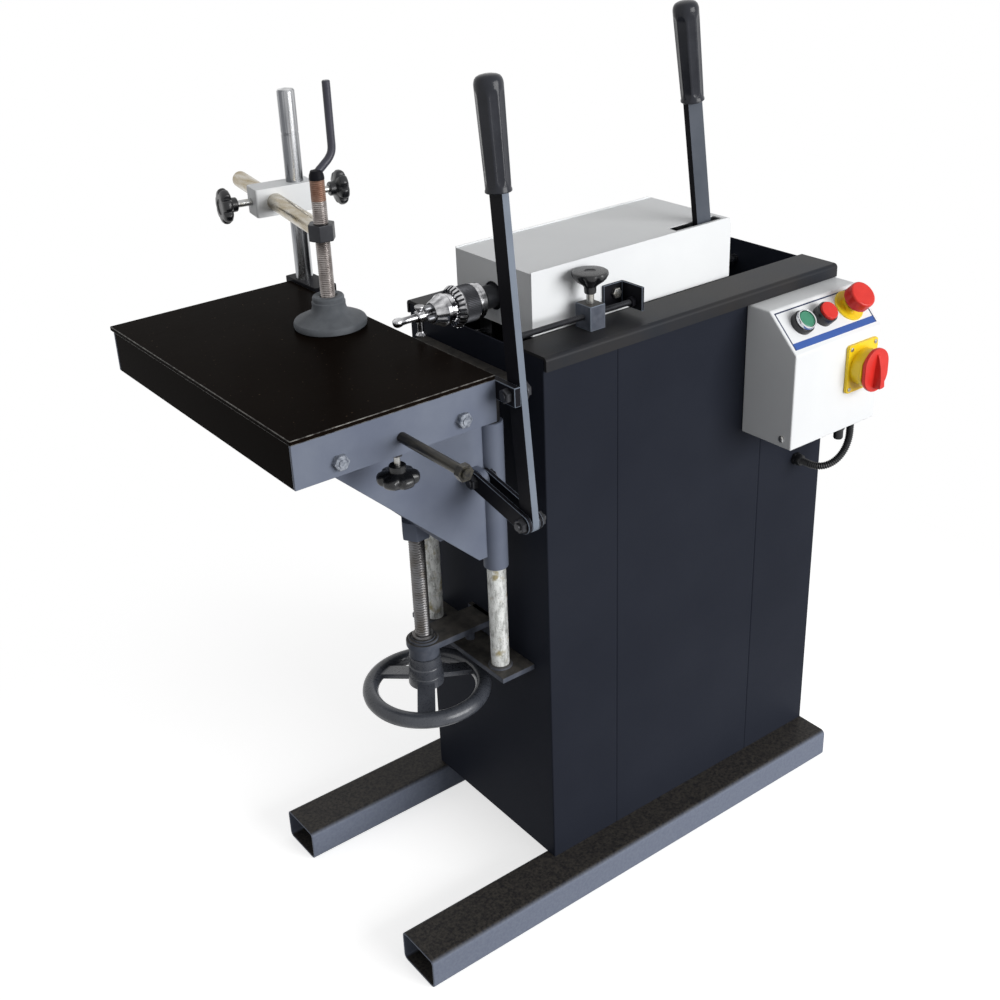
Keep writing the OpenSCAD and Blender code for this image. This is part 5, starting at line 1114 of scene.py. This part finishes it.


# Head lever: a flat bar 26 x 10 mm from its fulcrum inside the cabinet up through the cover's slot, with the
# same moulded grip. Its broad faces are slate enamel as painted light, the narrow edges black as painted
# shade.

# Bar enamel: slate grey satin, a little darker than the lever edges, with long faint brush marks; on the head
# lever it is the lit face, painted light.
lever_face_enamel_painted_light = surface("slate_lever_enamel_painted_light", "#4a5059", "#545962", 0.42, (2.0, 2.0, 14.0), 30, cloud_mm=70,
                     specular=0.12)
FULCRUM = (278.524, -63, 480)
HEAD_LEAN = math.radians(-8)
HEAD_BAR_HALF = 13
HEAD_TANG_END = 629
head_lever = at(*FULCRUM, Matrix.Rotation(HEAD_LEAN, 4, "Y"))
head_bar = arc(0, 0, HEAD_BAR_HALF, 180, 360, 12)
head_bar += [(HEAD_BAR_HALF, HEAD_TANG_END), (-HEAD_BAR_HALF, HEAD_TANG_END)]
bm = bmesh.new()
prism(bm, head_bar, -LEVER_THICK / 2, LEVER_THICK / 2, head_lever @ ALONG_Y, 0.8, mat=1, ends=0)
piece("head_lever_bar", bm, [lever_face_enamel_painted_light, black_lacquer], "head_arm", "grey_black_enamel", "head_lever")
bm = bmesh.new()
grip(bm, head_lever @ at(0, 0, HEAD_TANG_END - OVER_TANG))
piece("head_grip_fluted", bm, [grip_black], "head_arm", "black_plastic", "head_lever_grip")


# Control box: a folded sheet box screwed to the near panel, with a sloped face for the buttons. Sprayed
# white; a thin navy line and a plain blue band are printed round the buttons.

# Screen print: thin flat navy and blue ink, a touch glossier than the paint under it.
navy_ink = surface("navy_screen_print", "#26304f", "#2d3a5e", 0.35, 1.5, 6, specular=0.3)
blue_ink = surface("blue_screen_print", "#3558a2", "#3d63ad", 0.35, 1.5, 6, specular=0.3)
BOX_X = (222, 400)
BOX_Y = (-239, -147.5)
BOX_Z = (638, 830)
BOX_SLOPE = 51
INK = 0.12
LINE = 2.0
BAND = 10
PRINT_X = (227, 395)
PRINT_UP = (-33, 26)
# The frame of the sloped face: X runs along it, Y up it and Z out of it.
slope = at(0, -210, 808, Matrix.Rotation(math.radians(45), 4, "X"))
box_side = [(BOX_Y[1], BOX_Z[0]), (BOX_Y[0], BOX_Z[0]), (BOX_Y[0], BOX_Z[1] - BOX_SLOPE),
            (BOX_Y[0] + BOX_SLOPE, BOX_Z[1]), (BOX_Y[1], BOX_Z[1])]
bm = bmesh.new()
prism(bm, box_side, *BOX_X, ALONG_X, 2.2, steps=3)
for low, high, mat in (((PRINT_X[0], PRINT_UP[1] - LINE), (PRINT_X[1], PRINT_UP[1]), 1),
                       ((PRINT_X[0], PRINT_UP[0]), (PRINT_X[0] + LINE, PRINT_UP[1]), 1),
                       ((PRINT_X[1] - LINE, PRINT_UP[0]), (PRINT_X[1], PRINT_UP[1]), 1),
                       ((PRINT_X[0], PRINT_UP[0]), (PRINT_X[1], PRINT_UP[0] + BAND), 2)):
    block(bm, (*low, 0), (*high, INK), 0, slope, mat)
screw_head = at(BOX_X[0], -222, 651) @ Matrix.Rotation(-math.pi / 2, 4, "Y")
lathe(bm, [(0, 0), (5, 0), (5, 1.2), (3.6, 2.6), (1.6, 3), (0, 3)], screw_head, 24, mat=3)
piece("control_box_folded", bm, [white_enamel, navy_ink, blue_ink, zinc_plate], "base", "white_enamel",
      "control_box")


# Push buttons: a green start button flush in a chromed ring, a red stop button that stands proud, and a red
# mushroom emergency stop on a yellow ring. Moulded caps in screwed collars.
def on_slope(x, up=0):
    """The frame of a button: Z is the outward normal of the sloped face."""
    return at(x, 0, 0) @ slope @ at(0, up, 0)


# Bright chrome ring: clear mirror with faint turning rings.
chrome = surface("chromed_ring", "#dcdddf", "#cbccce", 0.14, (1.5, 1.5, 1.5), 5, metallic=1.0, spread=0.03)
# Cap plastics: saturated, smooth, softly glossy.
green_cap = surface("green_moulded_cap", "#468e71", "#3e8467", 0.34, 1.0, 10, cloud_mm=14, specular=0.3)
red_cap = surface("red_moulded_cap", "#df352c", "#d72d25", 0.32, 1.0, 10, cloud_mm=14, specular=0.3)
yellow_cap = surface("yellow_moulded_plastic", "#f6d51f", "#eec916", 0.36, 1.0, 10, cloud_mm=30)
# Neck plastic: mid grey, matt, between the ring and the mushroom; the grey is painted shade under the
# mushroom.
neck_painted_shade = surface("moulded_neck_painted_shade", "#6e6f72", "#7a7b7d", 0.5, 1.0, 12, cloud_mm=14, specular=0.3)
start_spot = on_slope(262)
stop_spot = on_slope(305)
estop_spot = on_slope(362, 2)
CAP_FOOT = 5.5
bm = bmesh.new()
lathe(bm, [(12.75, 0), (17, 0), (17, 8), (16.2, 9), (14.6, 9.2), (14.6, 10.6), (12.75, 10.6)], start_spot, 44,
      loop=True)
lathe(bm, [(12.75, 10.4), (15, 10.4), (15, 14.6), (14.4, 15.8), (13.4, 16), (12.75, 15.4)], start_spot, 44,
      loop=True, mat=1)
lathe(bm, [(14, 0), (15.7, 0), (15.7, 14), (15, 15), (14, 15)], stop_spot, 44, loop=True)
lathe(bm, [(9.5, 0), (23.5, 0), (23.5, 2), (22.6, 3), (12.5, 3), (12.5, 8), (12, 8.5), (9.5, 8.5)],
      estop_spot, 52, loop=True, mat=2)
piece("button_collars", bm, [phenolic, chrome, yellow_cap], "base", "black_plastic", "button_bezels")
bm = bmesh.new()
lathe(bm, [(0, CAP_FOOT), (12.25, CAP_FOOT), (12.25, 13.4), (11.6, 14.6), (10.4, 15), (9.8, 14.4), (0, 14.2)],
      start_spot, 44)
piece("start_cap", bm, [green_cap], "start", "green_cap", "start_button")
bm = bmesh.new()
lathe(bm, [(0, CAP_FOOT), (13.5, CAP_FOOT), (13.5, 17.4), (12.9, 18.6), (11.8, 19), (0, 19)], stop_spot, 44)
piece("stop_cap", bm, [red_cap], "stop", "red_cap", "stop_button")
bm = bmesh.new()
# The neck is grey as painted shade under the mushroom.
lathe(bm, [(0, CAP_FOOT), (9, CAP_FOOT), (9, 14), (14, 15), (14.4, 16), (0, 16)], estop_spot, 52, mat=1)
lathe(bm, [(0, 15.6), (18.6, 15.6), (20, 17), (20, 31), (19.4, 32.8), (18.2, 33.8), (16.6, 34), (0, 34)],
      estop_spot, 52)
piece("estop_mushroom", bm, [red_cap, neck_painted_shade], "emergency", "red_cap", "estop_button")


# Isolator: a yellow plate screwed to the front of the box with a round yellow boss, and a red rotary handle
# with an oval foot and a wedge to grip. All moulded.
ISOLATOR_X = 357.5
ISOLATOR_Z = 731
PLATE_SIZE = (62, 72)
PLATE_THICK = 5
isolator = at(ISOLATOR_X, BOX_Y[0], ISOLATOR_Z) @ Matrix.Rotation(math.pi / 2, 4, "X")
bm = bmesh.new()
prism(bm, rounded(*PLATE_SIZE, 5), 0, PLATE_THICK, isolator, 0.9)
lathe(bm, [(6.1, PLATE_THICK), (26.4, 4.9), (27, 8), (28, 21), (27.4, 23.4), (26.4, 24), (6.1, 24)],
      isolator, 56, loop=True)
for u, v in ((-25, -30), (25, -30), (25, 30), (-25, 30)):
    lathe(bm, [(0, 4.8), (3.2, 4.8), (3.2, 5.8), (2.4, 6.4), (0, 6.4)], isolator @ at(u, v, 0), 16, mat=1)
piece("isolator_boss", bm, [yellow_cap, zinc_plate], "base", "yellow_plastic", "isolator_plate")
bm = bmesh.new()
round_bar(bm, 6, 7, 25, isolator, 28)
oval = arc(0, 7, 25, 0, 180, 24) + arc(0, -7, 25, 180, 360, 24)
prism(bm, oval, 24.5, 30.5, isolator, 1.4)
# Each row of the wedge: half width and place at its foot, then half width, place and height at its crest.
WEDGE = ((2.2, 24, 1.8, 23, 32.5), (3.4, 8, 2.4, 7, 38), (5.2, -12, 3.8, -12, 41.3),
         (6, -22, 4.6, -22.5, 41.5), (4.8, -25, 3.6, -25, 40))
WEDGE_FOOT = 30.4
loft(bm, [[isolator @ Vector(p) for p in ((-wide, v, WEDGE_FOOT), (wide, v, WEDGE_FOOT), (slim, w, crest),
                                          (-slim, w, crest))] for wide, v, slim, w, crest in WEDGE])
piece("isolator_grip", bm, [red_cap], "isolator", "red_cap", "isolator_handle")


# Cable glands and conduit: black nylon glands with a hex foot and a domed nut, and a ribbed conduit that
# leaves the box downwards, swings round and enters the near panel.

# Nylon: black, satin, with soft moulded edges.
nylon = surface("black_nylon", "#17181a", "#212225", 0.42, 1.0, 16, cloud_mm=14, specular=0.35)
OUT_GLAND = (389, -208)
PLUG_GLAND = (363, -208)
IN_GLAND = (343, 556)
GLAND_HEX = 10
facing_down = Matrix.Rotation(math.pi, 4, "X")
facing_near = Matrix.Rotation(math.pi / 2, 4, "X")
bm = bmesh.new()
for place, bore, long, plugged in ((at(*OUT_GLAND, BOX_Z[0], facing_down), 5.6, 14, False),
                                   (at(*PLUG_GLAND, BOX_Z[0], facing_down), 5.0, 20, True),
                                   (at(IN_GLAND[0], -PANEL_Y, IN_GLAND[1], facing_near), 5.6, 14, False)):
    prism(bm, arc(0, 0, GLAND_HEX, 0, 300, 5), 0, 5, place, 0.6)
    lathe(bm, [(bore, 4.6), (8.6, 4.6), (9, 5.4), (9, long - 4), (8.2, long - 1.2), (7.2, long),
               (bore, long)], place, 28, loop=True)
    if plugged:
        lathe(bm, [(0, long - 2), (7, long - 2), (7, 32), (6, 34), (0, 34)], place, 28)
piece("cable_glands_nylon", bm, [nylon], "base", "black_plastic", "cable_glands")

# Ribbed hose: a tube along the path whose radius swells once for each rib.
hose_tree = new_tree("ribbed_hose", {"Radius": "Float", "Rib": "Float", "Pitch": "Float",
                                     "Finish": "Material"})
given = add(hose_tree, "NodeGroupInput").outputs
line = add(hose_tree, "GeometryNodeMeshToCurve", {"Mesh": given["Geometry"]})
step = add(hose_tree, "ShaderNodeMath", {0: given["Pitch"], 1: 6.0}, operation="DIVIDE")
fine = add(hose_tree, "GeometryNodeResampleCurve", {"Curve": line.outputs[0], "Length": step.outputs[0]},
           mode="LENGTH")
along = add(hose_tree, "GeometryNodeSplineParameter")
turns = add(hose_tree, "ShaderNodeMath", {0: along.outputs["Length"], 1: given["Pitch"]}, operation="DIVIDE")
phase = add(hose_tree, "ShaderNodeMath", {0: turns.outputs[0], 1: 2 * math.pi}, operation="MULTIPLY")
swell = add(hose_tree, "ShaderNodeMath", {0: phase.outputs[0]}, operation="SINE")
rib = add(hose_tree, "ShaderNodeMath", {0: swell.outputs[0], 1: given["Rib"]}, operation="MULTIPLY")
girth = add(hose_tree, "ShaderNodeMath", {0: rib.outputs[0], 1: given["Radius"]}, operation="ADD")
ring = add(hose_tree, "GeometryNodeCurvePrimitiveCircle", {"Resolution": 18, "Radius": 1.0})
tube = add(hose_tree, "GeometryNodeCurveToMesh", {"Curve": fine.outputs[0], "Profile Curve": ring.outputs[0],
                                                 "Scale": girth.outputs[0], "Fill Caps": True})
close_tree(hose_tree, tube.outputs[0], given["Finish"])
leave = Vector((*OUT_GLAND, 610))
arrive = Vector((IN_GLAND[0], -175.5, IN_GLAND[1]))
route = ([Vector((*OUT_GLAND, 626))]
         + bend(leave, Vector((391, -208, 570)), Vector((347, -211.5, 554)), arrive, 60)
         + [Vector((IN_GLAND[0], -159.5, IN_GLAND[1]))])
path = bpy.data.meshes.new("conduit_path")
path.from_pydata(route, [(i, i + 1) for i in range(len(route) - 1)], [])
bm = bmesh.new()
join(bm, grow(hose_tree, {"Radius": 5.2, "Rib": 0.5, "Pitch": 3.0, "Finish": nylon}, path))
piece("conduit_ribbed", bm, [nylon], "base", "black_plastic", "conduit")


# Motor drive: a motor that hangs inside the cabinet under the head plate, and a flat belt from its pulley
# up to the spindle's. Both are CAD nodes that only get their finish here.

# Motor enamel: blue-grey hammer finish.
motor_enamel = surface("hammered_motor_enamel", "#3a4450", "#46515e", 0.4, 5.0, 120, cloud_mm=30)
# Belt rubber: matt black with a faint mould bloom.
rubber = surface("black_rubber", "#151515", "#1e1e1e", 0.75, 0.9, 30, cloud_mm=12, specular=0.25)
dress(motor_enamel, "motor")
dress(rubber, "drive_belt")


# Studio: a pale floor that fades to white, an even white surround, one large soft box on the operator's side,
# and the camera at the photograph's angle.
FLOOR_HALF = 14.0
FLOOR_Z = -0.0005
floor_mesh = bpy.data.meshes.new("floor")
floor_mesh.from_pydata([(x * FLOOR_HALF, y * FLOOR_HALF, FLOOR_Z)
                        for x, y in ((-1, -1), (1, -1), (1, 1), (-1, 1))], [], [(0, 1, 2, 3)])
floor = bpy.data.objects.new("floor", floor_mesh)
bpy.context.scene.collection.objects.link(floor)


def looked_at(tree):
    """One for rays from the camera and for what mirrors and glass show, nought for light between things."""
    rays = add(tree, "ShaderNodeLightPath").outputs
    seen = rays["Is Camera Ray"]
    for other in ("Is Glossy Ray", "Is Transmission Ray"):
        seen = add(tree, "ShaderNodeMath", {0: seen, 1: rays[other]}, operation="MAXIMUM").outputs[0]
    return seen


# Paper floor: white, lifted by a light of its own until its horizon is lost, with the contact shadows left.
FLOOR_LIFT = 0.66
WHITE = (1, 1, 1, 1)
paper, tree, place = open_material("white_paper_floor")
reach = add(tree, "ShaderNodeVectorMath", {0: place}, operation="LENGTH")
fade = add(tree, "ShaderNodeMapRange", {"Value": reach.outputs["Value"], "From Min": 0.55, "From Max": 1.2},
           interpolation_type="SMOOTHSTEP")
matt = add(tree, "ShaderNodeBsdfDiffuse", {"Color": srgb("#e9e9e9")})
dim = add(tree, "ShaderNodeBsdfDiffuse", {"Color": srgb("#8c8c8c")})
lift = add(tree, "ShaderNodeEmission", {"Color": WHITE, "Strength": FLOOR_LIFT})
lit = add(tree, "ShaderNodeAddShader", {0: matt.outputs[0], 1: lift.outputs[0]})
white = add(tree, "ShaderNodeEmission", {"Color": WHITE, "Strength": 1.0})
faded = add(tree, "ShaderNodeMixShader", {0: fade.outputs[0], 1: lit.outputs[0], 2: white.outputs[0]})
shown = add(tree, "ShaderNodeMixShader", {0: looked_at(tree), 1: dim.outputs[0], 2: faded.outputs[0]})
add(tree, "ShaderNodeOutputMaterial", {"Surface": shown.outputs[0]})
floor_mesh.materials.append(paper)

SURROUND = 0.38
world = bpy.data.worlds.new("white_surround")
bpy.context.scene.world = world
world.use_nodes = True
tree = world.node_tree
tree.nodes.clear()
level = add(tree, "ShaderNodeMapRange", {"Value": looked_at(tree), "To Min": SURROUND, "To Max": 1.0})
sky = add(tree, "ShaderNodeBackground", {"Color": WHITE, "Strength": level.outputs[0]})
add(tree, "ShaderNodeOutputWorld", {"Surface": sky.outputs[0]})

key = bpy.data.lights.new("soft_box", "AREA")
key.shape = "RECTANGLE"
key.size = 4.4
key.size_y = 3.6
key.energy = 388.0
lamp = bpy.data.objects.new("soft_box", key)
stand = Vector((2.1, -5.9, 2.1))
aim_at = Vector((0.0, 0.0, 0.6))
lamp.matrix_world = Matrix.Translation(stand) @ (aim_at - stand).to_track_quat("-Z", "Y").to_matrix().to_4x4()
bpy.context.scene.collection.objects.link(lamp)

lens = bpy.data.cameras.new("photo_camera")
lens.sensor_fit = "HORIZONTAL"
lens.sensor_width = 36.0
lens.lens = 48.0294
lens.shift_x = 0.0335345
lens.shift_y = -0.038328
camera = bpy.data.objects.new("photo_camera", lens)
camera.matrix_world = Matrix(((0.80635626, 0.29225325, -0.51417664, -1.09853526),
                              (-0.58951827, 0.32732327, -0.73846306, -1.34790273),
                              (-0.04751625, 0.89858083, 0.43622780, 1.45573260), (0, 0, 0, 1)))
bpy.context.scene.collection.objects.link(camera)
bpy.context.scene.camera = camera
bpy.context.scene.view_settings.view_transform = "Standard"
